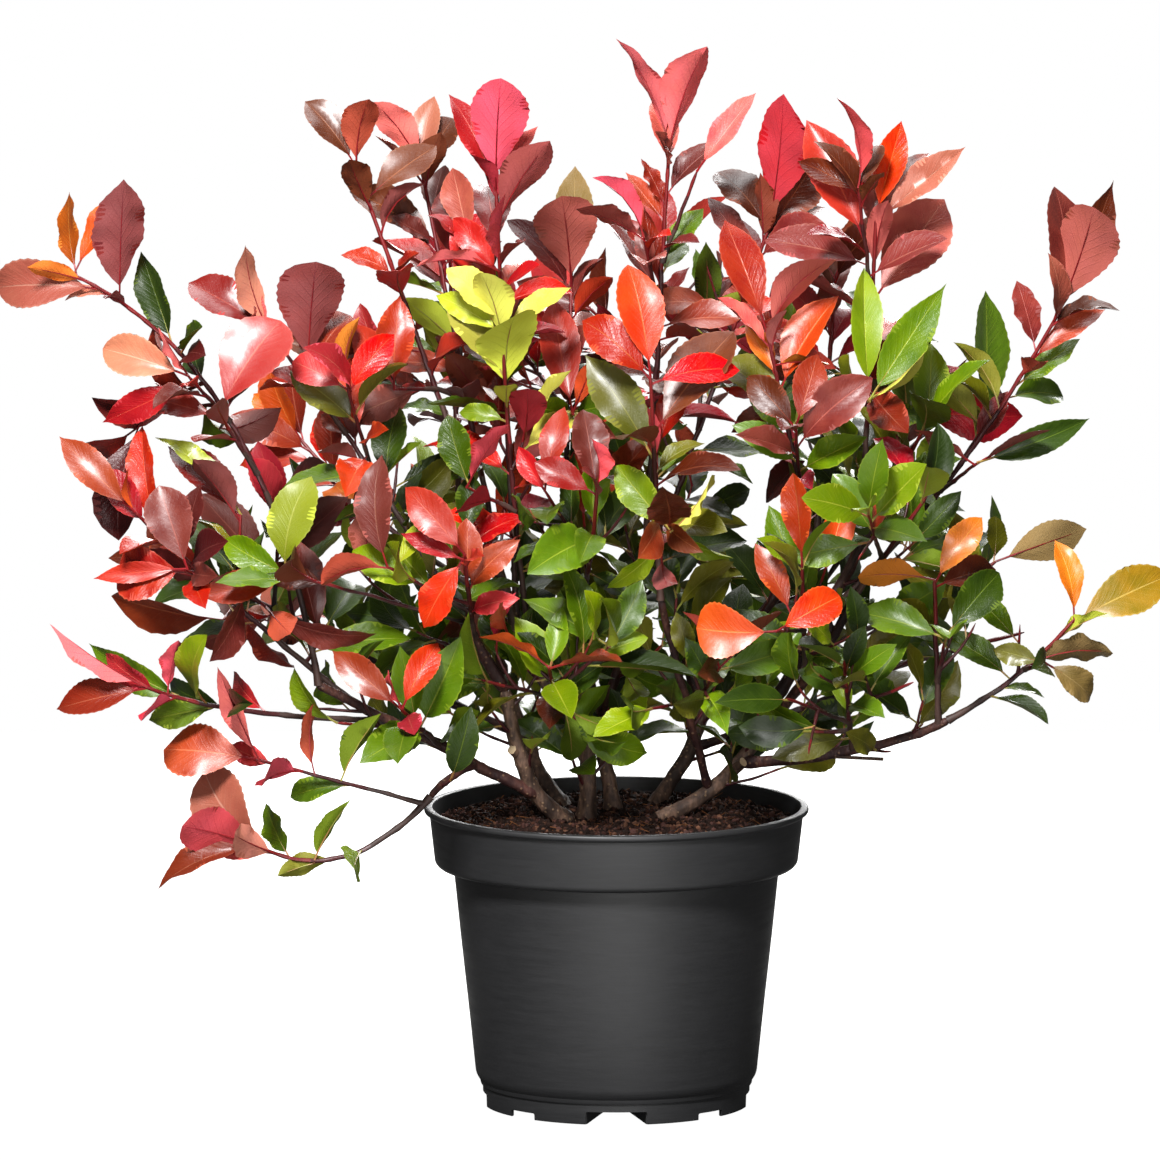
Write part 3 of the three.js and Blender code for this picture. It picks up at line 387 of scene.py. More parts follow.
              aims=[(74, 0.2, 82, 20), (56, -0.5, 58, 26), (-55, -0.3, 50, 20)]),
    ]),
    ("leaves_right_middle", ("bough_right_mid", 1), [
        shoot((205, -105, 425), 9, 160, "green deep fresh"),
        shoot((165, -150, 420), 6, 80, "fresh green", at=0.4),
    ]),
    ("leaves_orange_front", ("bough_right_mid", 0.45), [
        shoot((122, -140, 385), 8, 90, "vermilion green", lean=0.1,
              aims=[(-3, 0.2, 63, 20), (30, -0.2, 44, 20)]),
        shoot((104, -175, 345), 5, 60, "vermilion vermilion bronze", at=0.5,
              aims=[(-95, 0.2, 52, 36), (60, 0.3, 50, 24)]),
    ]),
    ("leaves_orange_right", ("bough_right_low", 0.93), [
        shoot((210, -105, 370), 6, 30, "orange orange bronze deep",
              aims=[(-80, -0.2, 50, 32), (37, 0.2, 56, 21), (74, 0.7, 42, 22)]),
        shoot((218, -112, 333), 4, 150, "deep green", at=0.3, aims=[(38, 0.3, 55, 26), (-72, 0.3, 60, 24)]),
    ]),
    ("leaves_far_right", ("bough_right_low", 1), [
        shoot((304, -70, 338), 7, 40, "orange gold taupe lime taupe green", lean=0.1,
              aims=[(-13, 0.2, 55, 18), (68, 0.3, 76, 32), None, (60, -0.2, 46, 12), (82, -0.2, 58, 28),
                    (-53, 0.2, 58, 20)]),
        shoot((284, -95, 312), 4, 150, "taupe olive", at=0.55,
              aims=[(124, 0.3, 42, 20), (-70, 0.2, 34, 16)]),
    ]),
    ("leaves_right_reach", ("bough_right_up", 0.28), [
        shoot((255, 25, 363), 8, 175, "taupe olive fresh", lean=0.1,
              aims=[(71, -0.3, 66, 26), (8, 0.4, 30, 18)]),
        shoot((228, 60, 335), 5, 220, "green fresh", at=0.6),
    ]),
    ("leaves_low_left", ("bough_low_left", 0.45), [
        shoot((-143, -150, 290), 5, 10, "brick vermilion rose",
              aims=[(-48, 0.2, 60, 23), (26, 0.25, 50, 20), (-22, -0.6, 30, 12)]),
        shoot((-186, -135, 278), 3, 200, "fresh green", at=0.4),
    ]),
    ("leaves_low_centre", ("bough_centre_left", 0.22), [
        shoot((-45, -130, 315), 7, 60, "vermilion brick green fresh", lean=0.1,
              aims=[(-60, -0.2, 50, 24), (78, -0.35, 50, 20), (18, 0.3, 42, 16)]),
        shoot((-4, -112, 326), 5, 120, "green green fresh", at=0.5,
              aims=[(-64, 0.2, 66, 24), (34, 0.1, 50, 22)]),
        shoot((-92, -88, 300), 5, 200, "fresh green", at=0.3),
        shoot((-25, -72, 268), 5, 100, "green", at=0.3),
    ]),
    ("leaves_low_right", ("bough_red", 0.4), [
        shoot((68, -125, 314), 7, 120, "brick bronze green",
              aims=[(-28, -0.2, 46, 15), (42, -0.3, 58, 36), (80, 0.3, 56, 22)]),
        shoot((22, -120, 285), 4, 70, "green", at=0.3),
        shoot((92, -95, 285), 5, 150, "fresh green", at=0.25),
        shoot((48, -60, 330), 5, 250, "green", at=0.6),
    ]),
    ("leaves_low_right_green", ("bough_right_low", 0.45), [
        shoot((150, -125, 318), 8, 120, "green deep", lean=0.05),
        shoot((196, -115, 302), 4, 180, "fresh green", at=0.5),
        shoot((112, -140, 295), 4, 60, "green", at=0.35),
        shoot((128, -70, 262), 5, 300, "deep green", at=0.25),
    ]),
    ("leaves_rim_right", ("bough_rear_low_right", 0.55), [
        shoot((158, 42, 226), 6, 170, "olive taupe lime"),
    ]),
    ("leaves_rear_right_high", ("bough_rear_right", 1), [
        shoot((148, 150, 540), 12, 220, "bronze rose bronze maroon"),
        shoot((198, 138, 448), 8, 200, "crimson maroon", at=0.5),
        shoot((110, 205, 490), 8, 270, "rose brick bronze", at=0.45),
    ]),
    ("leaves_rear_right_wide", ("bough_rear_right", 0.65), [
        shoot((232, 175, 398), 12, 220, "maroon dusky brick", lean=0.1),
        shoot((165, 235, 390), 8, 270, "vermilion brick olive", at=0.5),
        shoot((90, 130, 262), 6, 80, "fresh green", at=0.3),
    ]),
    ("leaves_rear_middle_high", ("bough_rear_mid", 1), [
        shoot((30, 165, 548), 12, 270, "crimson rose crimson maroon"),
        shoot((-25, 215, 515), 8, 300, "rose crimson", at=0.5),
        shoot((70, 225, 500), 8, 240, "bronze maroon", at=0.45),
    ]),
    ("leaves_rear_middle_low", ("bough_rear_mid", 0.55), [
        shoot((20, 262, 400), 12, 270, "scarlet vermilion brick", lean=0.15),
        shoot((75, 235, 320), 8, 230, "lime fresh green", at=0.5),
        shoot((5, 130, 300), 6, 60, "green", at=0.25),
        shoot((48, 110, 290), 5, 120, "deep green", at=0.3),
    ]),
    ("leaves_rear_left_high", ("bough_rear_left", 1), [
        shoot((-112, 150, 548), 12, 300, "rose pink crimson maroon"),
        shoot((-178, 120, 486), 8, 340, "bronze maroon", at=0.5),
        shoot((-80, 215, 490), 8, 270, "crimson rose bronze", at=0.45),
    ]),
    ("leaves_rear_left_wide", ("bough_rear_left", 0.6), [
        shoot((-215, 180, 425), 12, 320, "orange vermilion brick", lean=0.1),
        shoot((-130, 245, 370), 8, 280, "brick olive", at=0.5),
        shoot((-55, 125, 300), 6, 100, "green fresh", at=0.3),
    ]),
    ("leaves_rear_left_low", ("bough_rear_low_left", 1), [
        shoot((-285, 100, 345), 11, 340, "bronze brick maroon"),
        shoot((-225, 30, 390), 7, 20, "rose maroon", at=0.5),
        shoot((-235, 165, 300), 7, 300, "brick fresh", at=0.5),
        shoot((-125, 30, 300), 6, 60, "green", at=0.12),
    ]),
    ("leaves_rear_right_low", ("bough_rear_low_right", 1), [
        shoot((275, 120, 300), 11, 200, "lime fresh green"),
        shoot((225, 185, 290), 7, 250, "olive green", at=0.5),
    ]),
]


# A repeatable number from 0 to 1 for a set of whole numbers.
def chance(*keys):
    h = 2166136261
    for key in keys:
        h = ((h ^ key) * 16777619) & 0xFFFFFFFF
        h ^= h >> 15
        h = (h * 2246822519) & 0xFFFFFFFF
        h ^= h >> 13
    h = (h * 3266489917) & 0xFFFFFFFF
    return (h ^ (h >> 16)) / 2 ** 32


class Sweep:
    def __init__(self, start, end, lean=0, sag=0, bow=(0, 0)):
        self.start, self.end = Vector(start), Vector(end)
        self.middle = Vector((
            mix(start[0], end[0], 0.5 + lean) + bow[0],
            mix(start[1], end[1], 0.5 + lean) + bow[1],
            mix(start[2], end[2], 0.5 - lean) - sag,
        ))
        self.measure()

    def measure(self):
        points = [self.point(i / 100) for i in range(101)]
        self.length = sum((b - a).length for a, b in zip(points, points[1:]))

    def point(self, t):
        return self.start * (1 - t) ** 2 + self.middle * (2 * t * (1 - t)) + self.end * t ** 2

    def tangent(self, t):
        way = (self.middle - self.start) * (1 - t) + (self.end - self.middle) * t
        return way.normalized()

    # The same path, begun a little before its start.
    def begunAt(self, t):
        longer = Sweep(self.point(t), self.end)
        longer.middle = self.middle * (1 - t) + self.end * t
        longer.measure()
        return longer


# The frame of directions round a path: across lies level with the side first.
def ringFrames(curve, steps):
    across = None
    for i in range(steps + 1):
        along = curve.tangent(i / steps)
        if across is None:
            across = Vector((0, 1, 0)).cross(along)
        across = (across - along * across.dot(along)).normalized()
        yield i / steps, curve.point(i / steps), along, across, along.cross(across)


def ringPoints(centre, across, side, sides, radiusAt):
    points = []
    for k in range(sides):
        angle = k / sides * 2 * math.pi
        radius = radiusAt(angle)
        points.append(centre + across * (radius * math.cos(angle)) + side * (radius * math.sin(angle)))
    return points


# The two ends of a tube come first, then its rings from foot to tip.
def tubeFaces(steps, sides):
    faces = [tuple(range(sides))[::-1], tuple(range(steps * sides, (steps + 1) * sides))]
    for ring in range(0, steps * sides, sides):
        for k in range(sides):
            after = (k + 1) % sides
            faces.append((ring + k, ring + after, ring + sides + after, ring + sides + k))
    return faces


def plainTube(curve, radiusAt, steps, sides, spare=0.0):
    points = []
    for t, centre, along, across, side in ringFrames(curve, steps):
        if t == 0:
            centre = centre - along * spare
        if t == 1:
            centre = centre + along * spare
        radius = radiusAt(t) + spare / math.cos(math.pi / sides)
        points += ringPoints(centre, across, side, sides, lambda angle: radius)
    return points, tubeFaces(steps, sides)


def leafProxy(spot, spare=0.0, start=None):
    rule = leafRule
    start = -rule["sink"] if start is None else start
    across = spot["way"].cross(spot["face"])
    length = spot["length"]
    half = spot["width"] / 2 + spare
    raised = length * rule["fold"] + spare

    def at(along, sideways, up):
        return spot["foot"] + spot["way"] * along + across * sideways + spot["face"] * up

    points = [
        at(start, 0, -spare),
        at(length * rule["widest"], half, raised),
        at(length + spare, 0, -length * rule["curl"] - spare),
        at(length * rule["widest"], -half, raised),
    ]
    return points, [(0, 1, 3), (1, 2, 3), (0, 2, 1), (0, 3, 2)]


placed = []


def boxOf(points):
    array = np.array([tuple(p) for p in points])
    return array.min(0), array.max(0)


def remember(points, faces, node, owner=None):
    low, high = boxOf(points)
    tree = BVHTree.FromPolygons(points, faces)
    placed.append({"tree": tree, "low": low, "high": high, "node": node, "owner": owner})


def crowded(points, faces, ignore):
    low, high = boxOf(points)
    tree = None
    for other in placed:
        if (other["low"] > high).any() or (other["high"] < low).any() or ignore(other):
            continue
        tree = tree or BVHTree.FromPolygons(points, faces)
        if tree.overlap(other["tree"]):
            return True
    return False


def solidOfNode(name):
    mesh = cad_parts[name].data
    return [v.co / mm for v in mesh.vertices], [tuple(p.vertices) for p in mesh.polygons]


def twigRadius(shootNow):
    foot = shootRadius["lead" if shootNow["lead"] else "side"]
    return lambda t: mix(foot, shootRadius["tip"], t)


def roundShoot(along, degrees):
    left = along.cross(Vector((0, 1, 0))).normalized()
    front = along.cross(left)
    angle = math.radians(degrees)
    return left * math.cos(angle) + front * math.sin(angle)


# Leaf n from the tip of a shoot: its foot, the way it points, the way it faces and its size.
# between: the smaller leaf half way to the next one down.
def leafPlace(shootNow, n, between=False):
    rule = leafRule
    inTuft = min(n, rule["tuft"] - 1)
    reach = rule["tipGap"] + inTuft * rule["tuftGap"] + (n - inTuft + 0.5 * between) * rule["gap"]
    t = 1 - reach / shootNow["curve"].length
    aim = shootNow["aims"][n] if n < len(shootNow["aims"]) and not between else ()
    if t < rule["bareShare"] or aim is None:
        return None

    def draw(channel, low, high):
        return mix(low, high, chance(shootNow["number"], n + rule["betweenStep"] * between, channel))

    along = shootNow["curve"].tangent(t)
    bearing = shootNow["turn"] + n * rule["turn"] + draw(1, -rule["turnPlay"], rule["turnPlay"])
    bearing += 180 * between
    steady = min(rule["firstTilt"] + n * rule["tiltStep"], rule["widestTilt"])
    tilt = math.radians(steady + draw(2, -rule["tiltPlay"], rule["tiltPlay"]))
    way = along * math.cos(tilt) + roundShoot(along, bearing) * math.sin(tilt)
    way.z = max(way.z + rule["lift"] - rule["droop"] * n, rule["lowest"])
    if aim:
        angle = math.radians(aim[0])
        way = Vector((math.sin(angle), aim[1], math.cos(angle)))
    way.normalize()
    face = (along - way * along.dot(way)).normalized()
    if aim:
        face.y -= math.copysign(rule["aimedOut"], aim[1])
    else:
        out = face.y > draw(3, -rule["facePlay"], rule["facePlay"])
        face.y += rule["turnOut"] if out else -rule["turnOut"]
    face = (face - way * face.dot(way)).normalized()
    if aim:
        length, width = aim[2] * math.hypot(1, aim[1]), aim[3]
    else:
        length = rule["length"] * draw(4, rule["shortest"], rule["longest"])
        width = length * rule["widthShare"]
    foot = shootNow["curve"].point(t)
    return {"foot": foot, "way": way, "face": face, "length": length, "width": width, "aimed": bool(aim)}


def growLimbs():
    named = {}
    for one in limbs:
        parent = one["on"] and named[one["on"][0]]["curve"].point(one["on"][1])
        start = parent or Vector((*one["root"], ground))
        one["curve"] = Sweep(start, one["to"], one["lean"], one["sag"])
        named[one["name"]] = one
    for name in ["pot", "compost", *named]:
        remember(*solidOfNode(name), name)
    return named


def growShoots(limbNamed):
    bows = [(0, 0)]
    for reach in detour["reaches"]:
        for k in range(detour["ways"]):
            angle = k / detour["ways"] * 2 * math.pi
            bows.append((reach * math.cos(angle), reach * math.sin(angle)))
    number = 0
    for node, (limbName, share), shoots in masses:
        for one in shoots:
            number += 1
            one["number"], one["node"], one["lead"] = number, node, one["at"] is None
            if one["lead"]:
                start = limbNamed[limbName]["curve"].point(share)
            else:
                start = shoots[0]["curve"].point(one["at"])
            grain = facets["lead" if one["lead"] else "side"]
            for bow in bows:
                one["curve"] = Sweep(start, one["to"], one["lean"], one["sag"], bow)
                swollen = plainTube(one["curve"], twigRadius(one), *grain, spare=room)
                if not crowded(*swollen, lambda other: other["node"] in (limbName, node)):
                    break
            remember(*plainTube(one["curve"], twigRadius(one), *grain), node, number)


allShoots = [one for mass in masses for one in mass[2]]
greenLooks = ("fresh", "green", "deep")
restLooks = {
    "young": "maroon brick crimson bronze scarlet rose brick dusky maroon scarlet".split(),
    "old": "deep deep deep green green olive fresh olive deep green".split(),
}
redGrowth = {
    "height": (285, 520), "side": 900, "least": 0.0, "most": 0.94, "fade": 0.08, "inner": 0.28,
    "lowest": 300, "middle": 130, "nearTip": 0.55, "likeShoot": 0.45,
}
toLight = {"solids": 0.6, "between": 0.6, "finer": 0.7, "filling": 0.8}


# New growth is red: mostly high up and to the left. Older leaves further in are green.
def restLook(place, age, *keys):
    s = redGrowth
    low, high = s["height"]
    share = (place.z - low) / (high - low) - place.x / s["side"] - age
    looks = restLooks["young" if chance(*keys, 1) < min(s["most"], max(s["least"], share)) else "old"]
    return looks[int(chance(*keys, 2) * len(looks))]


# Below the colours named for it, a shoot's leaves are older and more often green.
def lookOf(one, n, place):
    looks = one["looks"]
    low = place.z < redGrowth["lowest"] and abs(place.x) < redGrowth["middle"]
    if n < len(looks) and not (low and looks[n] not in greenLooks):
        return looks[n]
    return restLook(place, redGrowth["fade"] * (n - len(looks)), one["number"], n)


# A leaf without a place of its own mostly turns its upper side to the light in front.
def turnToLight(spot, share):
    if not spot["aimed"] and spot["face"].y > 0 and chance(spot["number"], spot["n"], 8) < share:
        face = spot["face"]
        face.y = -face.y
        spot["face"] = (face - spot["way"] * face.dot(spot["way"])).normalized()


# Places where sky shows between the leaves from the front: across, up, half width, half height.
skyPlaces = [
    (180, 348, 38, 33), (268, 340, 36, 34), (236, 419, 24, 36), (202, 291, 34, 18), (240, 292, 32, 14),
    (124, 273, 18, 13), (146, 226, 46, 16), (-20, 590, 18, 22),
]
rearRise = 0.15  # how much higher something shows from the front for each unit it lies further back
skyChecks = (0.25, 0.55, 0.85)  # where along a leaf this is looked at


def inSky(spot):
    if spot["aimed"]:  # it was given its own place
        return False
    points = [spot["foot"] + spot["way"] * (spot["length"] * share) for share in skyChecks]
    return any(((p.x - x) / wide) ** 2 + ((p.z + rearRise * p.y - up) / tall) ** 2 < 1
               for p in points for x, up, wide, tall in skyPlaces)


# Leaves are tried in the solids' order: all the tips first, then downwards.
def growLeaves():
    spots = []
    for n in range(max(one["leaves"] for one in allShoots)):
        for one in allShoots:
            spot = leafPlace(one, n) if n < one["leaves"] else None
            if not spot:
                continue
            node, number = one["node"], one["number"]
            blade = leafProxy(spot, room, leafRule["stalkShare"] * spot["length"])
            if crowded(*leafProxy(spot, room), lambda other: other["node"] == node):
                continue
            if crowded(*blade, lambda other: other["owner"] == number):
                continue
            remember(*leafProxy(spot), node)
            spot.update(node=node, number=number, n=n, look=lookOf(one, n, spot["foot"]), small=False)
            turnToLight(spot, toLight["solids"])
            if not inSky(spot):
                spots.append(spot)
    return spots


# What the solids leave out: leaves between theirs, and finer twigs that bear leaves of their own.
finerGrowth = {
    "room": 0.2, "slack": 4, "between": (0.55, 0.85), "firstBetween": 1,
    "shootShares": (0.26, 0.38, 0.5, 0.62, 0.74, 0.86), "limbShares": (0.34, 0.48, 0.62, 0.76, 0.9),
    "limbKeys": 2000, "limbTurn": 50, "shootTurn": 70, "firstNumber": 7000,
    "tipFree": 24, "length": (26, 58), "lean": 0.12, "tilt": (34, 66), "lift": 0.3,
    "radii": (1.1, 0.75), "facets": (4, 3), "leafy": 0.8, "bare": 0.15,
    "leafGaps": (1, 4, 12, 20, 29, 38), "leafTilt": 30, "leafTiltStep": 10, "leafLift": 0.15,
    "leafShare": (0.58, 0.86), "coreCentre": (15, 15, 375), "coreReach": (258, 220, 165),
}


def reachOf(node):
    slack = Vector((finerGrowth["slack"],) * 3)
    low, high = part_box(node)
    return low / mm - slack, high / mm + slack


def tipOf(spot):
    return spot["foot"] + spot["way"] * spot["length"]


def within(point, reach):
    return all(reach[0][i] < point[i] < reach[1][i] for i in range(3))


def inCore(point):
    s = finerGrowth
    return sum(((point[i] - s["coreCentre"][i]) / s["coreReach"][i]) ** 2 for i in range(3)) < 1


def growBetween(spots):
    s = finerGrowth
    for one in allShoots:
        reach = reachOf(one["node"])
        for n in range(s["firstBetween"], one["leaves"]):
            spot = leafPlace(one, n, between=True)
            if not spot:
                continue
            size = mix(*s["between"], chance(one["number"], n, 31))
            spot["length"] *= size
            spot["width"] *= size
            blade = leafProxy(spot, s["room"], 2 * leafRule["stalkShare"] * spot["length"])
            if not within(tipOf(spot), reach) or crowded(*blade, lambda other: False):
                continue
            spot.update(node=one["node"], number=one["number"], n=n + leafRule["betweenStep"], small=True)
            spot["look"] = lookOf(one, n, spot["foot"])
            turnToLight(spot, toLight["between"])
            if inSky(spot):
                continue
            remember(*leafProxy(spot), one["node"])
            spots.append(spot)


def finerWay(along, bearing, tilt, lift):
    angle = math.radians(tilt)
    way = along * math.cos(angle) + roundShoot(along, bearing) * math.sin(angle)
    way.z += lift
    return way.normalized()


# The plain tube that keeps a finer twig's place.
def finerTube(path, spare=0.0):
    s = finerGrowth
    return plainTube(path, lambda t: mix(*s["radii"], t), *s["facets"], spare=spare)


# One finer twig with its leaves, at a share of the path that bears it.
def growTwig(curve, share, key, turn, isBearer, fits, node, lookAt):
    s = finerGrowth
    number = s["firstNumber"] + key

    def draw(channel, bottom, top):
        return mix(bottom, top, chance(number, channel))

    way = finerWay(curve.tangent(share), turn, draw(1, *s["tilt"]), s["lift"])
    start = curve.point(share)
    path = Sweep(start, start + way * draw(2, *s["length"]), lean=s["lean"])
    if crowded(*finerTube(path, s["room"]), isBearer):
        return None, []
    twig = {"curve": path, "number": number, "turn": draw(3, 0, 360)}
    found = []
    for n, gap in enumerate(s["leafGaps"]):
        if gap > s["leafy"] * path.length:
            break
        spot = finerLeaf(twig, n, gap)
        if not fits(tipOf(spot)) or not inCore(tipOf(spot)):
            continue
        if crowded(*leafProxy(spot, s["room"]), lambda other: other["owner"] == number):
            continue
        spot.update(node=node, number=number, n=n, look=lookAt(spot, n), small=True)
        turnToLight(spot, toLight["finer"])
        found.append(spot)
        remember(*leafProxy(spot), node)
    if found:
        remember(*finerTube(path), node, number)
    return twig, found


def growFiner(spots):
    s = finerGrowth
    twigs = []

    def keep(twig, found):
        if found:
            twigs.append(twig)
            spots.extend(found)

    for number, one in enumerate(limbs):
        mass = next((mass[0] for mass in masses if mass[1][0] == one["name"]), None)
        for k, share in enumerate(s["limbShares"]):
            key = s["limbKeys"] + number * 10 + k
            keep(*growTwig(
                one["curve"], share, key, k * leafRule["turn"] + number * s["limbTurn"],
                lambda other: other["node"] == one["name"], lambda tip: True, mass,
                lambda spot, n: restLook(spot["foot"], redGrowth["inner"], key, n),
            ))
    for one in allShoots:
        reach = reachOf(one["node"])
        for k, share in enumerate(s["shootShares"]):
            if (1 - share) * one["curve"].length < s["tipFree"]:
                continue
            key = one["number"] * 10 + k
            keep(*growTwig(
                one["curve"], share, key, one["turn"] + s["shootTurn"] + k * leafRule["turn"],
                lambda other: other["owner"] == one["number"], lambda tip: within(tip, reach), one["node"],
                lambda spot, n: finerLook(one, share, key, n, spot["foot"]),
            ))
    return twigs


def finerLeaf(twig, n, gap):
    s = finerGrowth
    t = max(s["bare"], 1 - gap / twig["curve"].length)
    along = twig["curve"].tangent(t)
    bearing = twig["turn"] + n * leafRule["turn"]
    way = finerWay(along, bearing, s["leafTilt"] + s["leafTiltStep"] * n, s["leafLift"])
    face = (along - way * along.dot(way)).normalized()
    face.y += leafRule["turnOut"] if face.y > 0 else -leafRule["turnOut"]
    face = (face - way * face.dot(way)).normalized()
    length = leafRule["length"] * mix(*s["leafShare"], chance(twig["number"], n, 4))
    width = length * leafRule["widthShare"]
    foot = twig["curve"].point(t)
    return {"foot": foot, "way": way, "face": face, "length": length, "width": width, "aimed": False}


# Twigs that fill the thin places on the left: their tips, and the colours of their leaves.
fillingGrowth = {
    "tips": [
        ((-290, -150, 484), "maroon crimson maroon brick deep"),
        ((-262, -150, 470), "brick maroon green deep"),
        ((-318, -150, 470), "crimson maroon brick"),
        ((-228, -120, 352), "maroon brick green deep"),
        ((-262, -130, 340), "brick maroon deep green"),
        ((-192, -112, 338), "green deep maroon green"),
    ],
    "shifts": (0, 18, -18, 36), "nearest": 30, "samples": 20, "size": 1.3, "leafGaps": (1, 5, 13, 22, 32, 43),
    "firstNumber": 9000,
}


def fillThinPlaces(spots, twigs):
    s, room = fillingGrowth, finerGrowth["room"]
    bearers = [(one, k / s["samples"]) for one in allShoots for k in range(2, s["samples"] - 1)]
    for number, (tip, looks) in enumerate(s["tips"], s["firstNumber"]):
        looks = looks.split()
        for shift in s["shifts"]:
            end = Vector(tip) + Vector((0, shift, 0))
            away = [((one["curve"].point(t) - end).length, one, t) for one, t in bearers]
            away = [found for found in away if found[0] > s["nearest"]]
            _, one, t = min(away, key=lambda found: found[0])
            path = Sweep(one["curve"].point(t), end, lean=finerGrowth["lean"])
            if not crowded(*finerTube(path, room), lambda other: other["owner"] == one["number"]):
                break
        twig = {"curve": path, "number": number, "turn": 360 * chance(number, 3)}
        for n, gap in enumerate(s["leafGaps"]):
            spot = finerLeaf(twig, n, min(gap, finerGrowth["leafy"] * path.length))
            spot["length"] *= s["size"]
            spot["width"] *= s["size"]
            if crowded(*leafProxy(spot, room), lambda other: other["owner"] == number):
                continue
            spot.update(node=one["node"], number=number, n=n, look=looks[n % len(looks)], small=True)
            turnToLight(spot, toLight["filling"])
            spots.append(spot)
            remember(*leafProxy(spot), one["node"])
        remember(*finerTube(path), one["node"], number)
        twigs.append(twig)


# Near the tip of its shoot a finer twig often takes one of the shoot's own colours.
def finerLook(one, share, key, n, place):
    looks = one["looks"]
    if share > redGrowth["nearTip"] and chance(key, n, 5) < redGrowth["likeShoot"]:
        return looks[int(chance(key, 6) * len(looks))]
    return restLook(place, redGrowth["inner"] * (1 - share), key, n)


limbNamed = growLimbs()
growShoots(limbNamed)
leafSpots = growLeaves()
counts = [len(leafSpots)]
growBetween(leafSpots)
counts.append(len(leafSpots))
finer = growFiner(leafSpots)
fillThinPlaces(leafSpots, finer)
stage(f"growth: {counts[0]} leaves of the solids, {counts[1] - counts[0]} between, "
      f"{len(leafSpots) - counts[1]} on {len(finer)} finer twigs")


# Short ways to make node groups, materials and meshes.
def newGroup(name, inputs, outputs):
    tree = bpy.data.node_groups.new(name, "ShaderNodeTree")
    for label, value in inputs.items():
        socket = tree.interface.new_socket(label, in_out="INPUT", socket_type="NodeSocketFloat")
        socket.default_value = value
    for label in outputs:
        tree.interface.new_socket(label, in_out="OUTPUT", socket_type="NodeSocketFloat")
    return tree, tree.nodes.new("NodeGroupInput").outputs, tree.nodes.new("NodeGroupOutput").inputs


def place(tree, group, **values):
    node = tree.nodes.new("ShaderNodeGroup")
    node.node_tree = group
    for name, value in values.items():
        node.inputs[name.replace("_", " ")].default_value = value
    return node.outputs


def newMaterial(name, base, roughness, coat=0.0, coatRoughness=0.1, specular=0.5):
    material = bpy.data.materials.new(name)
    material.use_nodes = True
    material.diffuse_color = base
    shader = material.node_tree.nodes["Principled BSDF"]
    shader.inputs["Base Color"].default_value = base
    shader.inputs["Roughness"].default_value = roughness
    shader.inputs["Coat Weight"].default_value = coat
    shader.inputs["Coat Roughness"].default_value = coatRoughness
    shader.inputs["Specular IOR Level"].default_value = specular
    return material, material.node_tree, shader


def bumpInto(tree, shader, height, strength, distance):
    values = {"Height": height, "Strength": strength, "Distance": distance}
    tree.links.new(addNode(tree, "Bump", values).outputs["Normal"], shader.inputs["Normal"])


surfaceGrain = {"contrast": (0.3, 0.7), "patchDetail": 3.0, "grainDetail": 4.0, "grainHeight": 0.6}


# Soft patches and fine grain over a surface, from the piece's own coordinates.
def makeGrainGroup():
    s = surfaceGrain
    inputs = {"Patch size": 20.0, "Grain size": 400.0, "Stretch": 1.0}
    tree, given, out = newGroup("surfaceGrain", inputs, ("Patch", "Grain", "Height"))
    objectPlace = addNode(tree, "TexCoord").outputs["Object"]
    scale = addNode(tree, "CombineXYZ", {"X": 1.0, "Y": 1.0, "Z": given["Stretch"]}).outputs[0]
    moved = addNode(tree, "VectorMath", {0: objectPlace, 1: scale}, operation="MULTIPLY").outputs[0]
    values = {"Vector": moved, "Scale": given["Patch size"], "Detail": s["patchDetail"]}
    patch = addNode(tree, "TexNoise", values).outputs[0]
    values = {"Vector": moved, "Scale": given["Grain size"], "Detail": s["grainDetail"]}
    grain = addNode(tree, "TexNoise", values).outputs[0]
    tree.links.new(ramp(tree, patch, *s["contrast"]), out["Patch"])
    tree.links.new(ramp(tree, grain, *s["contrast"]), out["Grain"])
    tree.links.new(calculate(tree, "MULTIPLY_ADD", grain, s["grainHeight"], patch), out["Height"])
    return tree


# Shares of a leaf's half width or length, and how deep each part of its relief goes.
veinShape = {
    "across": 2.4, "narrowing": (0.6, 0.5), "midrib": (0.008, 0.04), "rise": 0.8, "offset": 0.055,
    "line": (0.02, 0.12), "fading": (0.25, 0.85), "margin": (0.86, 0.94), "net": (0.0, 0.16),
    "domes": -0.7, "sideDepth": 0.7, "sunk": 0.5, "netDepth": -0.15,
}


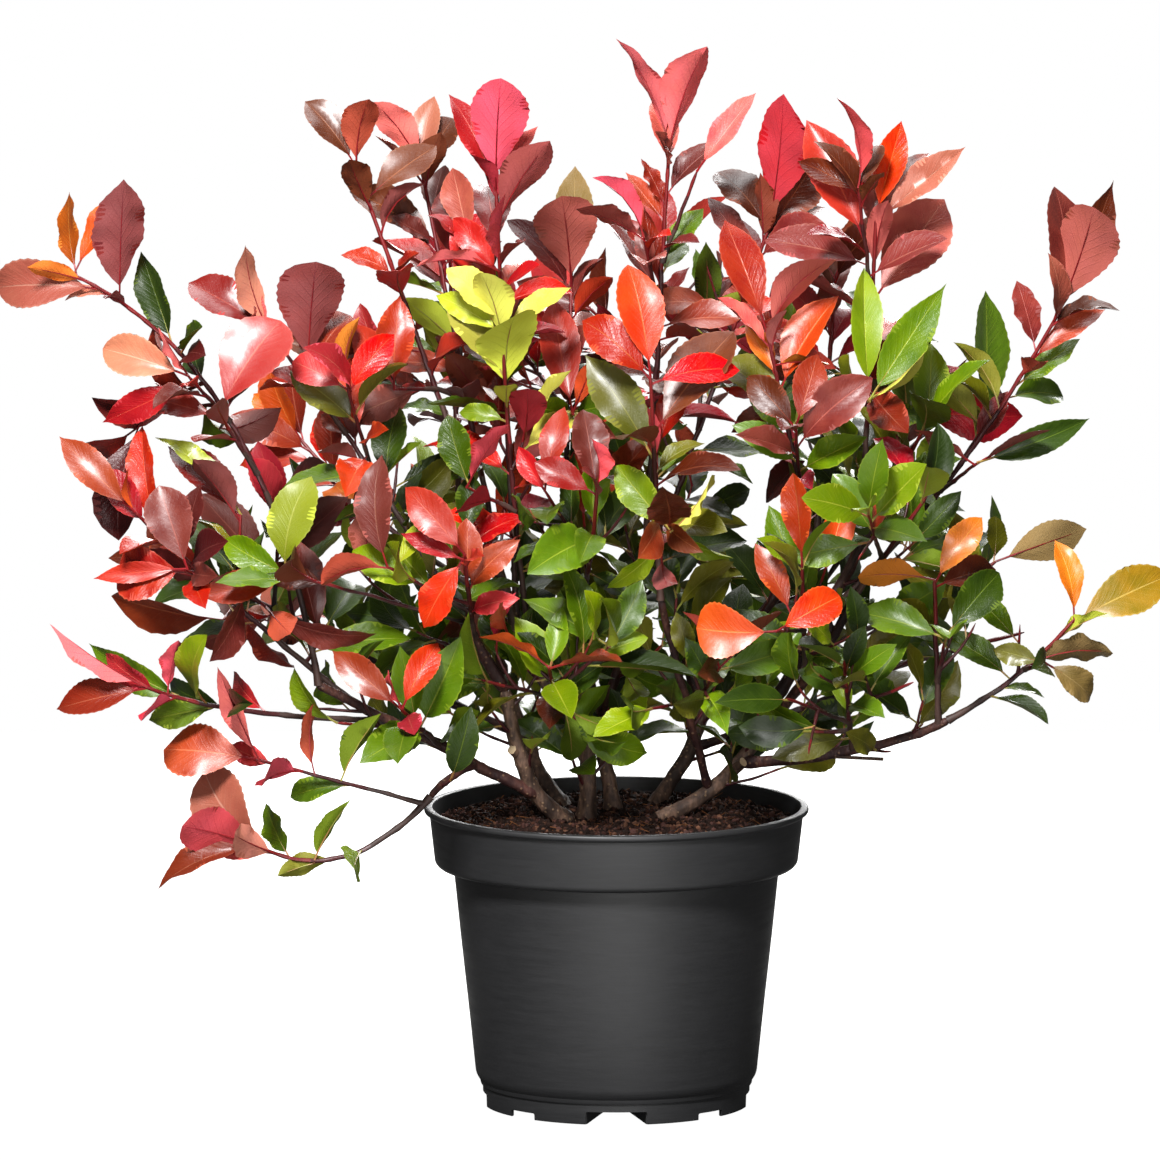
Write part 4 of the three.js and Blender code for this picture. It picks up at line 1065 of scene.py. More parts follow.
# Midrib and side veins from the leaf's own map: its whole numbers tell the leaves apart.
def makeLeafGroup():
    s = veinShape
    inputs = {"Pairs": 9.0, "Slant": 0.3, "Net size": 420.0}
    outputs = ("Rib", "Vein", "Net", "Along", "Margin", "Own", "Other", "Height")
    tree, given, out = newGroup("leafVeins", inputs, outputs)
    mapPlace = addNode(tree, "UVMap", uv_map="leafMap").outputs[0]
    x, along, _ = addNode(tree, "SeparateXYZ", {0: mapPlace}).outputs
    whole = calculate(tree, "FLOOR", x)
    own = addNode(tree, "TexWhiteNoise", {"W": whole}, noise_dimensions="1D").outputs["Value"]
    half = calculate(tree, "ADD", whole, 0.5)
    other = addNode(tree, "TexWhiteNoise", {"W": half}, noise_dimensions="1D").outputs["Value"]
    side = calculate(tree, "SUBTRACT", calculate(tree, "FRACT", x), 0.5)
    across = calculate(tree, "MULTIPLY", calculate(tree, "ABSOLUTE", side), s["across"])
    narrowing = calculate(tree, "MULTIPLY_ADD", along, *s["narrowing"])
    midrib = fall(tree, calculate(tree, "MULTIPLY", across, narrowing), *s["midrib"])
    rise = calculate(tree, "MULTIPLY", calculate(tree, "POWER", across, s["rise"]), given["Slant"])
    shifted = calculate(tree, "MULTIPLY", calculate(tree, "GREATER_THAN", side, 0.0), s["offset"])
    phase = calculate(tree, "SUBTRACT", calculate(tree, "ADD", along, shifted), rise)
    turns = calculate(tree, "MULTIPLY", phase, given["Pairs"])
    away = calculate(tree, "ABSOLUTE", calculate(tree, "SUBTRACT", calculate(tree, "FRACT", turns), 0.5))
    sides = calculate(tree, "MULTIPLY", fall(tree, away, *s["line"]), fall(tree, across, *s["fading"]))
    margin = ramp(tree, across, *s["margin"])
    objectPlace = addNode(tree, "TexCoord").outputs["Object"]
    net = addNode(tree, "TexVoronoi", {"Vector": objectPlace, "Scale": given["Net size"]},
                  feature="DISTANCE_TO_EDGE").outputs["Distance"]
    netLine = fall(tree, net, *s["net"])
    domes = calculate(tree, "MULTIPLY", away, s["domes"])
    sunk = calculate(tree, "MAXIMUM", midrib, calculate(tree, "MULTIPLY", sides, s["sideDepth"]))
    height = calculate(tree, "SUBTRACT", domes, calculate(tree, "MULTIPLY", sunk, s["sunk"]))
    full = calculate(tree, "MULTIPLY_ADD", netLine, s["netDepth"], height)
    for label, socket in zip(outputs, (midrib, sides, netLine, along, margin, own, other, full)):
        tree.links.new(socket, out[label])
    return tree


grainGroup = makeGrainGroup()
leafGroup = makeLeafGroup()

# Base colours of the leaves: upper side, where it turns, its midrib, underside and underside veins, and
# the roughness of the upper side.
leafLooks = {
    "rose": ("#a81a26", "#c43c3c", "#d86858", "#d24c5a", "#b0263c", 0.30),
    "pink": ("#b83e3c", "#cc6454", "#e09080", "#cc605e", "#b83c48", 0.36),
    "blush": ("#ae5644", "#c67c5e", "#dca088", "#c47a68", "#ac4e48", 0.36),
    "crimson": ("#860a0c", "#a61c12", "#c44834", "#a62c2e", "#88141a", 0.26),
    "scarlet": ("#a81202", "#c02a04", "#d85830", "#b43a1c", "#981c0e", 0.24),
    "vermilion": ("#ac2802", "#c44406", "#d87434", "#c04a1c", "#a03010", 0.28),
    "orange": ("#b84c04", "#cc6c0c", "#dc9440", "#c46c24", "#a44410", 0.30),
    "gold": ("#665602", "#8a6408", "#b4984c", "#84702c", "#7c5014", 0.32),
    "brick": ("#7a1c0c", "#983414", "#bc6446", "#a04430", "#842418", 0.24),
    "bronze": ("#421406", "#602808", "#8c4c2c", "#703420", "#5c2018", 0.26),
    "maroon": ("#561614", "#762e24", "#9c5044", "#7a403c", "#68282a", 0.3),
    "dusky": ("#7a2c26", "#904434", "#ae6c56", "#9c4c46", "#803432", 0.36),
    "lime": ("#869010", "#9ca020", "#b8b850", "#b0b83c", "#8c9428", 0.32),
    "pear": ("#a8a438", "#c0b450", "#a8963c", "#c8c854", "#a4a034", 0.36),
    "olive": ("#545604", "#6e620c", "#8c8830", "#6c6c20", "#484c0c", 0.28),
    "taupe": ("#6c582a", "#806234", "#a08454", "#846c44", "#745434", 0.34),
    "fresh": ("#5c7602", "#7a8804", "#a8ac38", "#88942a", "#8c9838", 0.28),
    "green": ("#405c02", "#5a7202", "#8c9828", "#667a12", "#748424", 0.28),
    "deep": ("#1e3002", "#324602", "#5c6e1a", "#4c5e0a", "#5e6e1c", 0.30),
}


# How strongly each mask tells on a leaf's two sides. A pair is a share of the leaf's own chance and a start.
upperFinish = {
    "patchSize": 55.0, "grainSize": 700.0, "plainGloss": 0.1,
    "coat": 0.3, "coatRoughness": 0.32, "specular": 0.25,
    "turned": (0.8, 0.1), "tip": 0.5, "vein": 0.07, "margin": 0.3, "rib": 0.55, "level": (0.74, 0.49),
    "roughPlay": 0.14, "roughGrain": 0.14, "shine": (0.0, 1.3), "shinePatch": (-0.6, 0.9),
    "bump": (0.6, 0.0006),
}
underFinish = {
    "patchSize": 60.0, "grainSize": 900.0, "roughness": 0.62, "specular": 0.25,
    "turned": 0.35, "net": 0.35, "vein": 0.28, "rib": 0.8, "level": (0.36, 0.8),
    "relief": (0.2, 0.5), "bump": (0.5, 0.0005),
}
hueShift = (0.012, 0.494)


def tinted(tree, mask, strength, under, over):
    return blend(tree, calculate(tree, "MULTIPLY", mask, strength), under, colour(over))


# Each leaf is a little lighter or darker than its look, and turned a little in hue.
def ownShade(tree, leaf, body, level, socket):
    level = calculate(tree, "MULTIPLY_ADD", leaf["Own"], *level)
    hue = calculate(tree, "MULTIPLY_ADD", leaf["Other"], *hueShift)
    values = {"Color": body, "Value": level, "Hue": hue}
    tree.links.new(addNode(tree, "HueSaturation", values).outputs[0], socket)


def leafTop(name):
    s = upperFinish
    base, turned, rib, _, _, gloss = leafLooks[name]
    material, tree, shader = newMaterial(
        name + "Upper", colour(base), gloss + s["plainGloss"], s["coat"], s["coatRoughness"], s["specular"])
    leaf = place(tree, leafGroup)
    grain = place(tree, grainGroup, Patch_size=s["patchSize"], Grain_size=s["grainSize"])
    own = calculate(tree, "MULTIPLY_ADD", leaf["Own"], *s["turned"])
    body = tinted(tree, grain["Patch"], own, colour(base), turned)
    body = tinted(tree, leaf["Along"], calculate(tree, "MULTIPLY", leaf["Other"], s["tip"]), body, turned)
    for mask, strength in (("Vein", s["vein"]), ("Margin", s["margin"]), ("Rib", s["rib"])):
        body = tinted(tree, leaf[mask], strength, body, rib)
    ownShade(tree, leaf, body, s["level"], shader.inputs["Base Color"])
    rough = calculate(tree, "MULTIPLY_ADD", leaf["Other"], s["roughPlay"], gloss)
    rough = calculate(tree, "MULTIPLY_ADD", grain["Grain"], s["roughGrain"], rough)
    tree.links.new(rough, shader.inputs["Roughness"])
    shine = ramp(tree, leaf["Other"], *s["shine"])
    shine = calculate(tree, "MULTIPLY", shine, ramp(tree, grain["Patch"], *s["shinePatch"]))
    tree.links.new(shine, shader.inputs["Coat Weight"])
    bumpInto(tree, shader, leaf["Height"], *s["bump"])
    return material


def leafUnder(name):
    s = underFinish
    _, turned, _, under, vein, _ = leafLooks[name]
    material, tree, shader = newMaterial(
        name + "Under", colour(under), s["roughness"], specular=s["specular"])
    leaf = place(tree, leafGroup)
    grain = place(tree, grainGroup, Patch_size=s["patchSize"], Grain_size=s["grainSize"])
    body = tinted(tree, grain["Patch"], s["turned"], colour(under), turned)
    fine = calculate(tree, "MAXIMUM", leaf["Vein"], calculate(tree, "MULTIPLY", leaf["Net"], s["net"]))
    body = tinted(tree, fine, s["vein"], body, vein)
    body = tinted(tree, leaf["Rib"], s["rib"], body, vein)
    ownShade(tree, leaf, body, s["level"], shader.inputs["Base Color"])
    netRelief, veinRelief = s["relief"]
    raised = calculate(tree, "MULTIPLY", leaf["Vein"], veinRelief)
    bumpInto(tree, shader, calculate(tree, "MULTIPLY_ADD", leaf["Net"], netRelief, raised), *s["bump"])
    return material


barkFinish = {"grainShare": 8, "speck": 0.35, "bump": 0.6}
rivenFinish = {
    "specular": 0.35, "broad": (70.0, 260.0, 0.22), "fine": (420.0, 1500.0, 0.35), "poreSize": 230.0,
    "poreEdge": (0.12, 0.26), "streaks": (0.7, 0.3), "pores": 0.55, "fineHeight": 0.5, "poreHeight": 0.3,
    "bump": (0.8, 0.0012),
}


def plainBark(name, dark, light, roughness, size, height, specular=0.4, stretch=0.3):
    s = barkFinish
    material, tree, shader = newMaterial(name, colour(dark), roughness, specular=specular)
    grain = place(tree, grainGroup, Patch_size=size, Grain_size=size * s["grainShare"], Stretch=stretch)
    body = blend(tree, grain["Patch"], colour(dark), colour(light))
    specked = tinted(tree, grain["Grain"], s["speck"], body, light)
    tree.links.new(specked, shader.inputs["Base Color"])
    bumpInto(tree, shader, grain["Height"], s["bump"], height)
    return material


# Old bark: long streaks, a finer grain across them and small pale pores.
def rivenBark(name, dark, light, pore, roughness):
    s = rivenFinish
    material, tree, shader = newMaterial(name, colour(dark), roughness, specular=s["specular"])
    broad, fine = [place(tree, grainGroup, Patch_size=patch, Grain_size=grain, Stretch=stretch)
                   for patch, grain, stretch in (s["broad"], s["fine"])]
    values = {"Vector": addNode(tree, "TexCoord").outputs["Object"], "Scale": s["poreSize"]}
    pores = fall(tree, addNode(tree, "TexVoronoi", values).outputs["Distance"], *s["poreEdge"])
    finer = calculate(tree, "MULTIPLY_ADD", fine["Patch"], *s["streaks"])
    body = tinted(tree, broad["Patch"], finer, colour(dark), light)
    tree.links.new(tinted(tree, pores, s["pores"], body, pore), shader.inputs["Base Color"])
    height = calculate(tree, "MULTIPLY_ADD", fine["Height"], s["fineHeight"], broad["Height"])
    height = calculate(tree, "MULTIPLY_ADD", pores, s["poreHeight"], height)
    bumpInto(tree, shader, height, *s["bump"])
    return material


def joinedMesh(name, points, faces, materials, slots, smooth=True):
    mesh = bpy.data.meshes.new(name)
    mesh.from_pydata(points, [], faces)
    for material in materials:
        mesh.materials.append(material)
    mesh.polygons.foreach_set("material_index", np.asarray(slots, dtype=np.int32))
    mesh.polygons.foreach_set("use_smooth", np.full(len(faces), smooth))
    mesh.update()
    piece = bpy.data.objects.new(name, mesh)
    bpy.context.scene.collection.objects.link(piece)
    return piece


def selectOnly(piece):
    bpy.ops.object.select_all(action="DESELECT")
    bpy.context.view_layer.objects.active = piece
    piece.select_set(True)


def sharpen(piece, degrees):
    selectOnly(piece)
    bpy.ops.object.shade_smooth_by_angle(angle=math.radians(degrees))
    piece.select_set(False)


# The shape of a leaf. A pair of numbers is a range that each leaf takes its own value from.
leafShape = {
    "rows": 26, "smallRows": 16, "columns": (-1, -0.5, 0, 0.5, 1), "stalk": 0.12,
    "freeLength": (0.72, 0.98), "smallLength": (0.92, 1.08),
    "freeWidth": (0.78, 1.08), "aimedWidth": (0.98, 1.1),
    "youngFoot": (1.0, 1.3), "oldFoot": (0.85, 1.1), "oldFrom": 5,
    "tips": {"narrow": (0.3, 1.14), "wide": (0.62, 0.64)}, "tipPlay": (0.9, 1.1), "point": (0.0, 0.03),
    "teeth": 0.045, "thickness": 0.34, "ribDepth": 0.3, "curl": (4, 66), "slope": -4,
    "narrowFold": (0.35, 1.1), "wideFold": (0.1, 0.5), "halfArch": 0.35, "bend": 0.1, "twist": 30,
    "wave": (0.3, 2.0), "waves": (1.4, 3.2), "phase": (0, 6), "wavePower": 1.5, "mostTriangles": 190000,
    "greenStalked": ("lime", "pear", "olive", "fresh", "green", "deep"), "firstChannel": 20,
    "ribAt": (-0.015, 0.05, 0.13, 0.3, 0.55, 0.86), "ribRadii": (0.95, 0.75, 0.8, 0.5, 0.38, 0.15),
    "ribSink": 0.6, "mapHalf": 0.4, "sharpFrom": 75,
}


# The faces of a leaf with so many rows: base and tip, the upper side, the underside, then its midrib.
def leafTemplate(rows):
    columns = len(leafShape["columns"])

    def upper(r, c):
        return 2 + (r - 1) * columns + c

    def lower(r, c):
        if c in (0, columns - 1):
            return upper(r, c)
        return 2 + (rows - 1) * columns + (r - 1) * (columns - 2) + c - 1

    faces, slots = [], []
    for slot, at in ((0, upper), (1, lower)):
        made = [(0, at(1, c), at(1, c + 1)) for c in range(columns - 1)]
        made += [(at(rows - 1, c), 1, at(rows - 1, c + 1)) for c in range(columns - 1)]
        for r in range(1, rows - 1):
            for c in range(columns - 1):
                made.append((at(r, c), at(r + 1, c), at(r + 1, c + 1), at(r, c + 1)))
        faces += made if slot == 0 else [face[::-1] for face in made]
        slots += [slot] * len(made)
    first = 2 + (rows - 1) * (2 * columns - 2)
    rings = len(leafShape["ribAt"])
    for ring in range(rings - 1):
        for k in range(4):
            a, b = first + ring * 4 + k, first + ring * 4 + (k + 1) % 4
            faces.append((a, b, b + 4, a + 4))
    last = first + (rings - 1) * 4
    faces += [(first + 3, first + 2, first + 1, first), (last, last + 1, last + 2, last + 3)]
    slots += [2] * ((rings - 1) * 4 + 2)
    return faces, slots


# All points of one leaf in metres, in the template's order, and their places on its own map.
def leafPoints(spot, serial, rows):
    s = leafShape
    keys = (spot["number"], spot["n"], serial)

    def draw(channel, low, high):
        return mix(low, high, chance(*keys, s["firstChannel"] + channel))

    free = not spot["aimed"]
    length = spot["length"]
    if free:
        length *= draw(10, *s["smallLength" if spot["small"] else "freeLength"])
    broad = spot["width"] / spot["length"] * draw(11, *s["freeWidth" if free else "aimedWidth"])
    (narrow, narrowTip), (wide, wideTip) = s["tips"]["narrow"], s["tips"]["wide"]
    breadth = min(1, max(0, (broad - narrow) / (wide - narrow)))
    way, face = np.array(spot["way"]), np.array(spot["face"])
    side = np.cross(face, way)
    curl = math.radians(draw(1, *s["curl"]))
    first = curl / 2 + math.radians(s["slope"])
    fold = mix(draw(2, *s["narrowFold"]), draw(2, *s["wideFold"]), breadth)
    bend, twist = draw(3, -s["bend"], s["bend"]), math.radians(draw(4, -s["twist"], s["twist"]))
    waveHeight, waves, phase = draw(5, *s["wave"]), draw(6, *s["waves"]), draw(7, *s["phase"])
    old = spot["look"] in greenLooks or spot["n"] > s["oldFrom"]
    footPower = draw(8, *s["oldFoot" if old else "youngFoot"])
    tipPower = mix(narrowTip, wideTip, breadth) * draw(9, *s["tipPlay"])

    def frameAt(u):
        lean = first - curl * u
        x = length * (math.sin(first) - np.sin(lean)) / curl
        z = length * (np.cos(lean) - math.cos(first)) / curl
        y = length * bend * u ** 2
        centre = np.outer(x, way) + np.outer(y, side) + np.outer(z, face)
        normal = np.outer(-np.sin(lean), way) + np.outer(np.cos(lean), face)
        angle = twist * u
        across = side * np.cos(angle)[:, None] + normal * np.sin(angle)[:, None]
        above = normal * np.cos(angle)[:, None] - side * np.sin(angle)[:, None]
        return centre, across, above

    blade = np.arange(1, rows) / rows
    u = s["stalk"] + (1 - s["stalk"]) * blade
    widest = footPower / (footPower + tipPower)
    outline = blade ** footPower * (1 - blade) ** tipPower
    half = broad / 2 * length * outline / (widest ** footPower * (1 - widest) ** tipPower)
    half *= 1 - s["teeth"] * (np.arange(1, rows) % 2)
    centre, across, above = frameAt(u)
    v = np.array(s["columns"])
    arch = np.abs(v) * (1 - s["halfArch"] * np.abs(v))
    ripple = np.sin(2 * np.pi * waves * blade[:, None] + phase + 2 * v[None, :])
    ripple = ripple * np.abs(v) ** s["wavePower"]
    swell = np.sin(np.pi * blade)[:, None]
    height = fold * half[:, None] * arch[None, :] + waveHeight * ripple * swell

    def layer(offset, columns):
        wide = (half[:, None] * v[None, columns])[..., None]
        tall = (height[:, columns] + offset[None, columns])[..., None]
        grid = centre[:, None, :] + wide * across[:, None, :] + tall * above[:, None, :]
        return grid.reshape(-1, 3)

    inner = np.array([0, 1, 1, 1, 0]) * s["thickness"] / 2
    rib = np.array([0, 0, 1, 0, 0]) * s["ribDepth"]
    every, middle = [0, 1, 2, 3, 4], [1, 2, 3]
    tips, _, _ = frameAt(np.array([s["stalk"], 1 + draw(12, *s["point"])]))
    ribCentre, ribAcross, ribAbove = frameAt(np.array(s["ribAt"]))
    thick = np.array(s["ribRadii"])[:, None]
    sunk = ribCentre - ribAbove * s["thickness"] * s["ribSink"]
    sidesOfRib = [ribAcross, -ribAbove, -ribAcross, ribAbove]
    ring = np.stack([sunk + direction * thick for direction in sidesOfRib], axis=1).reshape(-1, 3)
    points = np.concatenate([tips, layer(inner, every), layer(-inner - rib, middle), ring])
    mapRow = 0.5 + v * s["mapHalf"]
    upperU, lowerU = np.tile(mapRow, rows - 1), np.tile(mapRow[middle], rows - 1)
    mapU = np.concatenate([[0.5, 0.5], upperU, lowerU, np.full(len(ring), 0.5)])
    upperV, lowerV = np.repeat(blade, len(every)), np.repeat(blade, len(middle))
    ribV = np.repeat(np.clip(s["ribAt"], 0, 1), len(sidesOfRib))
    mapV = np.concatenate([[0, 1], upperV, lowerV, ribV])
    return (points + np.array(spot["foot"])) * mm, np.stack([mapU + serial, mapV], axis=1)


# Which pieces the leaves are joined into: each family of colours, and a slot name listed with it.
leafFamilies = {
    "roseLeaves": (("rose", "pink", "blush", "crimson"), "leaves_rose"),
    "scarletLeaves": (("scarlet", "vermilion"), "leaves_scarlet"),
    "orangeLeaves": (("orange", "gold"), "leaves_orange"),
    "bronzeLeaves": (("brick", "bronze", "maroon", "dusky"), "leaves_bronze"),
    "limeLeaves": (("lime", "pear", "olive", "taupe"), "leaves_lime"),
    "greenLeaves": (("fresh", "green", "deep"), "leaves_green"),
}
redStalk = plainBark("redStalk", "#5e0c14", "#841a1e", 0.4, 90.0, 0.0002)
greenStalk = plainBark("greenStalk", "#7f8a34", "#8f5a3a", 0.45, 90.0, 0.0002)


def makeLeaves():
    templates = {}
    for rows in (leafShape["rows"], leafShape["smallRows"]):
        faces, slots = leafTemplate(rows)
        templates[rows] = np.array(faces, dtype=object), slots, sum(len(face) - 2 for face in faces)
    for family, (looks, slotName) in leafFamilies.items():
        materials = [material for look in looks for material in (leafTop(look), leafUnder(look))]
        materials += [redStalk, greenStalk]
        chosen = [spot for spot in leafSpots if spot["look"] in looks]
        parts = [[]]
        triangles = 0
        for spot in chosen:
            rows = leafShape["smallRows" if spot["small"] else "rows"]
            triangles += templates[rows][2]
            if triangles > leafShape["mostTriangles"]:
                parts.append([])
                triangles = templates[rows][2]
            parts[-1].append((spot, rows))
        for number, part in enumerate(parts, 1):
            name = family + (str(number) if len(parts) > 1 else "")
            allPoints, allMaps, allFaces, allSlots = [], [], [], []
            base = 0
            for serial, (spot, rows) in enumerate(part):
                faces, slots, _ = templates[rows]
                points, ownMap = leafPoints(spot, serial, rows)
                pair = 2 * looks.index(spot["look"])
                stalk = 2 * len(looks) + (spot["look"] in leafShape["greenStalked"])
                allFaces += [tuple(base + i for i in face) for face in faces]
                allSlots += [stalk if slot == 2 else pair + slot for slot in slots]
                allPoints.append(points)
                allMaps.append(ownMap)
                base += len(points)
            piece = joinedMesh(name, np.concatenate(allPoints), allFaces, materials, allSlots)
            corners = np.zeros(len(piece.data.loops), dtype=np.int32)
            piece.data.loops.foreach_get("vertex_index", corners)
            leafMap = piece.data.uv_layers.new(name="leafMap")
            leafMap.data.foreach_set("uv", np.concatenate(allMaps)[corners].ravel())
            sharpen(piece, leafShape["sharpFrom"])
            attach(piece, "root")
            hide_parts(*sorted({spot["node"] for spot, _ in part if spot["node"]}))
            stage(f"{name}: {len(part)} leaves")


makeLeaves()


# Shoots and finer twigs: the radius of each kind at its foot and at its tip.
twigShape = {
    "ring": 5.0, "sides": 6, "fewestRings": 4, "lead": (2.1, 1.15), "side": (1.6, 0.95), "finer": (1.2, 0.7),
    "collar": 0.5, "collarFade": 5.0, "knot": 0.22, "knotGap": 17, "knotWidth": 2, "bud": (3, 0.3),
    "sway": 1.0, "swayLength": 16, "seedStep": 3.7, "redShare": 0.3, "brownShare": 0.35,
}


# A tube whose radius may change round it as well as along it.
def roundTube(curve, radiusAt, steps, sides, swayAt=lambda d: (0, 0)):
    points = []
    for t, centre, _, across, side in ringFrames(curve, steps):
        d = t * curve.length
        swayX, swayY = swayAt(d)
        centre = centre + across * swayX + side * swayY
        points += ringPoints(centre, across, side, sides, lambda angle: radiusAt(d, angle))
    return points, tubeFaces(steps, sides)


# How far a tube wanders from its path. Its two ends stay in place.
def wander(curve, most, wave, seed):
    def swayAt(d):
        hold = math.sin(math.pi * min(1, d / curve.length))
        return [most * hold * noise.noise(Vector((d / wave, seed, lane))) for lane in (0, 9)]

    return swayAt


# The bodies of one mesh: their points in metres, their faces and each face's material.
class Gathered:
    def __init__(self):
        self.points, self.faces, self.slots = [], [], []

    def add(self, points, faces, slots):
        base = len(self.points)
        self.points += [p * mm for p in points]
        self.faces += [tuple(base + i for i in face) for face in faces]
        self.slots += slots

    def asMesh(self, name, materials):
        return joinedMesh(name, self.points, self.faces, materials, self.slots)


def makeTwigs():
    s = twigShape
    shoots = [(one, "lead" if one["lead"] else "side") for one in allShoots]
    shoots += [(one, "finer") for one in finer]
    gathered = Gathered()
    for one, kind in shoots:
        curve = one["curve"]
        steps = max(s["fewestRings"], round(curve.length / s["ring"]))
        foot, tip = s[kind]

        def radiusAt(d, _):
            share = d / curve.length
            knot = s["knot"] * math.exp(-((d % s["knotGap"] - s["knotGap"] / 2) / s["knotWidth"]) ** 2)
            collar = s["collar"] * math.exp(-d / s["collarFade"])
            bud = min(1, (curve.length - d) / s["bud"][0] + s["bud"][1])
            return mix(foot, tip, share) * (1 + knot + collar) * bud

        swayAt = wander(curve, s["sway"], s["swayLength"], one["number"] * s["seedStep"])
        points, faces = roundTube(curve, radiusAt, steps, s["sides"], swayAt)
        along = [(i // s["sides"] + 0.5) / steps for i in range(steps * s["sides"])]
        brown = s["brownShare"] if kind != "finer" else 0
        barks = [2 if t < brown else 1 if t < 1 - s["redShare"] else 0 for t in along]
        gathered.add(points, faces, [2, 0] + barks)
    materials = [
        plainBark("twigRed", "#500c12", "#701818", 0.4, 60.0, 0.0003),
        plainBark("twigMaroon", "#280a0c", "#441416", 0.45, 60.0, 0.0004),
        plainBark("twigBrown", "#211513", "#463029", 0.6, 60.0, 0.0005),
    ]
    piece = gathered.asMesh("twigs", materials)
    sharpen(piece, 60)
    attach(piece, "root")
    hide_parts(*[mass[0] for mass in masses])
    stage(f"twigs: {len(shoots)}")


# Stems and boughs, with the relief of their bark.
barkShape = {
    "ring": 2.4, "sides": 20, "below": 7.0, "flare": 0.3, "flareFade": 8.0,
    "collar": 0.35, "collarFade": 6.0, "sink": 0.75, "youngest": 4.5, "tip": (0.72, 10),
    "ridge": 0.16, "ridgeWidth": 1.6, "ridgeLength": 26.0, "rough": 0.07, "roughWidth": 5, "roughLength": 5,
    "knot": 0.14, "knotGap": 19.0, "knotWidth": 1.8, "knotLeast": 0.6, "knotRound": 2,
    "rootLobes": 0.12, "lobes": 3, "lobeFade": 6, "sway": 2.2, "swayLength": 30, "seedStep": 11.3,
}
stubShape = {
    "rings": 7, "sides": 14, "rough": 0.12, "roughWidth": 2, "roughLength": 8, "foot": 0.25, "footFade": 4,
    "seedStep": 3.1,
}
# Where old wood was cut: the limb, how far along it, the way the stub points, its length and radius.
stubs = [
    ("bough_centre_left", 1.0, (-0.55, -0.35, 0.75), 16, 4.0),
    ("bough_right_up", 1.0, (0.7, -0.2, 0.7), 20, 3.6),
    ("bough_right_low", 0.3, (1.0, -0.5, 0.03), 48, 1.2),
    ("stem_left", 0.62, (-0.5, -0.7, 0.5), 11, 3.2),
    ("stem_right", 0.5, (0.6, -0.6, 0.5), 12, 3.0),
]


# Uneven patches on a limb, at a direction from its middle and a way along it.
def noisePatch(x, y, d, width, length, seed):
    return noise.noise(Vector((x * width + seed, y * width, d / length)))


def makeLimbs():
    s = barkShape
    materials = [
        rivenBark("oldBark", "#221611", "#6c5242", "#907458", 0.65),
        rivenBark("youngBark", "#200e10", "#523026", "#785a44", 0.55),
        plainBark("cutWood", "#8f7a60", "#b59f80", 0.8, 80.0, 0.0004, 0.2),
    ]
    gathered = Gathered()
    for number, one in enumerate(limbs):
        curve = one["curve"]
        below = s["below"] if one["root"] else 0
        if below:
            curve = curve.begunAt(-below / curve.length)
        steps = round(curve.length / s["ring"])
        seed = number * s["seedStep"]

        def radiusAt(d, angle):
            share = d / curve.length
            x, y = math.cos(angle), math.sin(angle)
            above = max(0, d - below)
            ridge = noisePatch(x, y, d, s["ridgeWidth"], s["ridgeLength"], seed)
            rough = noisePatch(x, y, d, s["roughWidth"], s["roughLength"], seed)
            knot = math.exp(-((d % s["knotGap"] - s["knotGap"] / 2) / s["knotWidth"]) ** 2)
            swollen = Vector((x * s["knotRound"], y * s["knotRound"], seed + d // s["knotGap"]))
            knot *= s["knot"] * (s["knotLeast"] + noise.noise(swollen))
            if one["root"]:
                lobes = s["rootLobes"] * math.sin(s["lobes"] * angle + seed)
                lobes *= math.exp(-above / s["lobeFade"])
                swell = s["flare"] * math.exp(-above / s["flareFade"]) + lobes
            else:
                sunk = s["sink"] * max(0, 1 - d / s["collarFade"])
                swell = s["collar"] * math.exp(-d / s["collarFade"]) - sunk
            end = min(1.0, s["tip"][0] + (curve.length - d) / s["tip"][1])
            plain = mix(*one["radii"], share) * end
            return plain * (1 + swell + s["ridge"] * ridge + s["rough"] * rough + knot)

        swayAt = wander(curve, s["sway"], s["swayLength"], seed)
        points, faces = roundTube(curve, radiusAt, steps, s["sides"], swayAt)
        young = one["root"] is None and one["radii"][0] < s["youngest"]
        gathered.add(points, faces, [int(young)] * len(faces))
    cut = stubShape
    for name, share, way, length, radius in stubs:
        start = limbNamed[name]["curve"].point(share)
        curve = Sweep(start, start + Vector(way).normalized() * length)
        seed = length * cut["seedStep"]

        def stubRadius(d, angle):
            x, y = math.cos(angle), math.sin(angle)
            rough = noisePatch(x, y, d, cut["roughWidth"], cut["roughLength"], seed)
            return radius * (1 + cut["rough"] * rough + cut["foot"] * math.exp(-d / cut["footFade"]))

        points, faces = roundTube(curve, stubRadius, cut["rings"], cut["sides"])
        gathered.add(points, faces, [0, 2] + [0] * (len(faces) - 2))
    piece = gathered.asMesh("stemsAndBoughs", materials)
    sharpen(piece, 50)
    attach(piece, "root")
    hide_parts(*[one["name"] for one in limbs])
    stage(f"stems and boughs: {len(limbs)}")


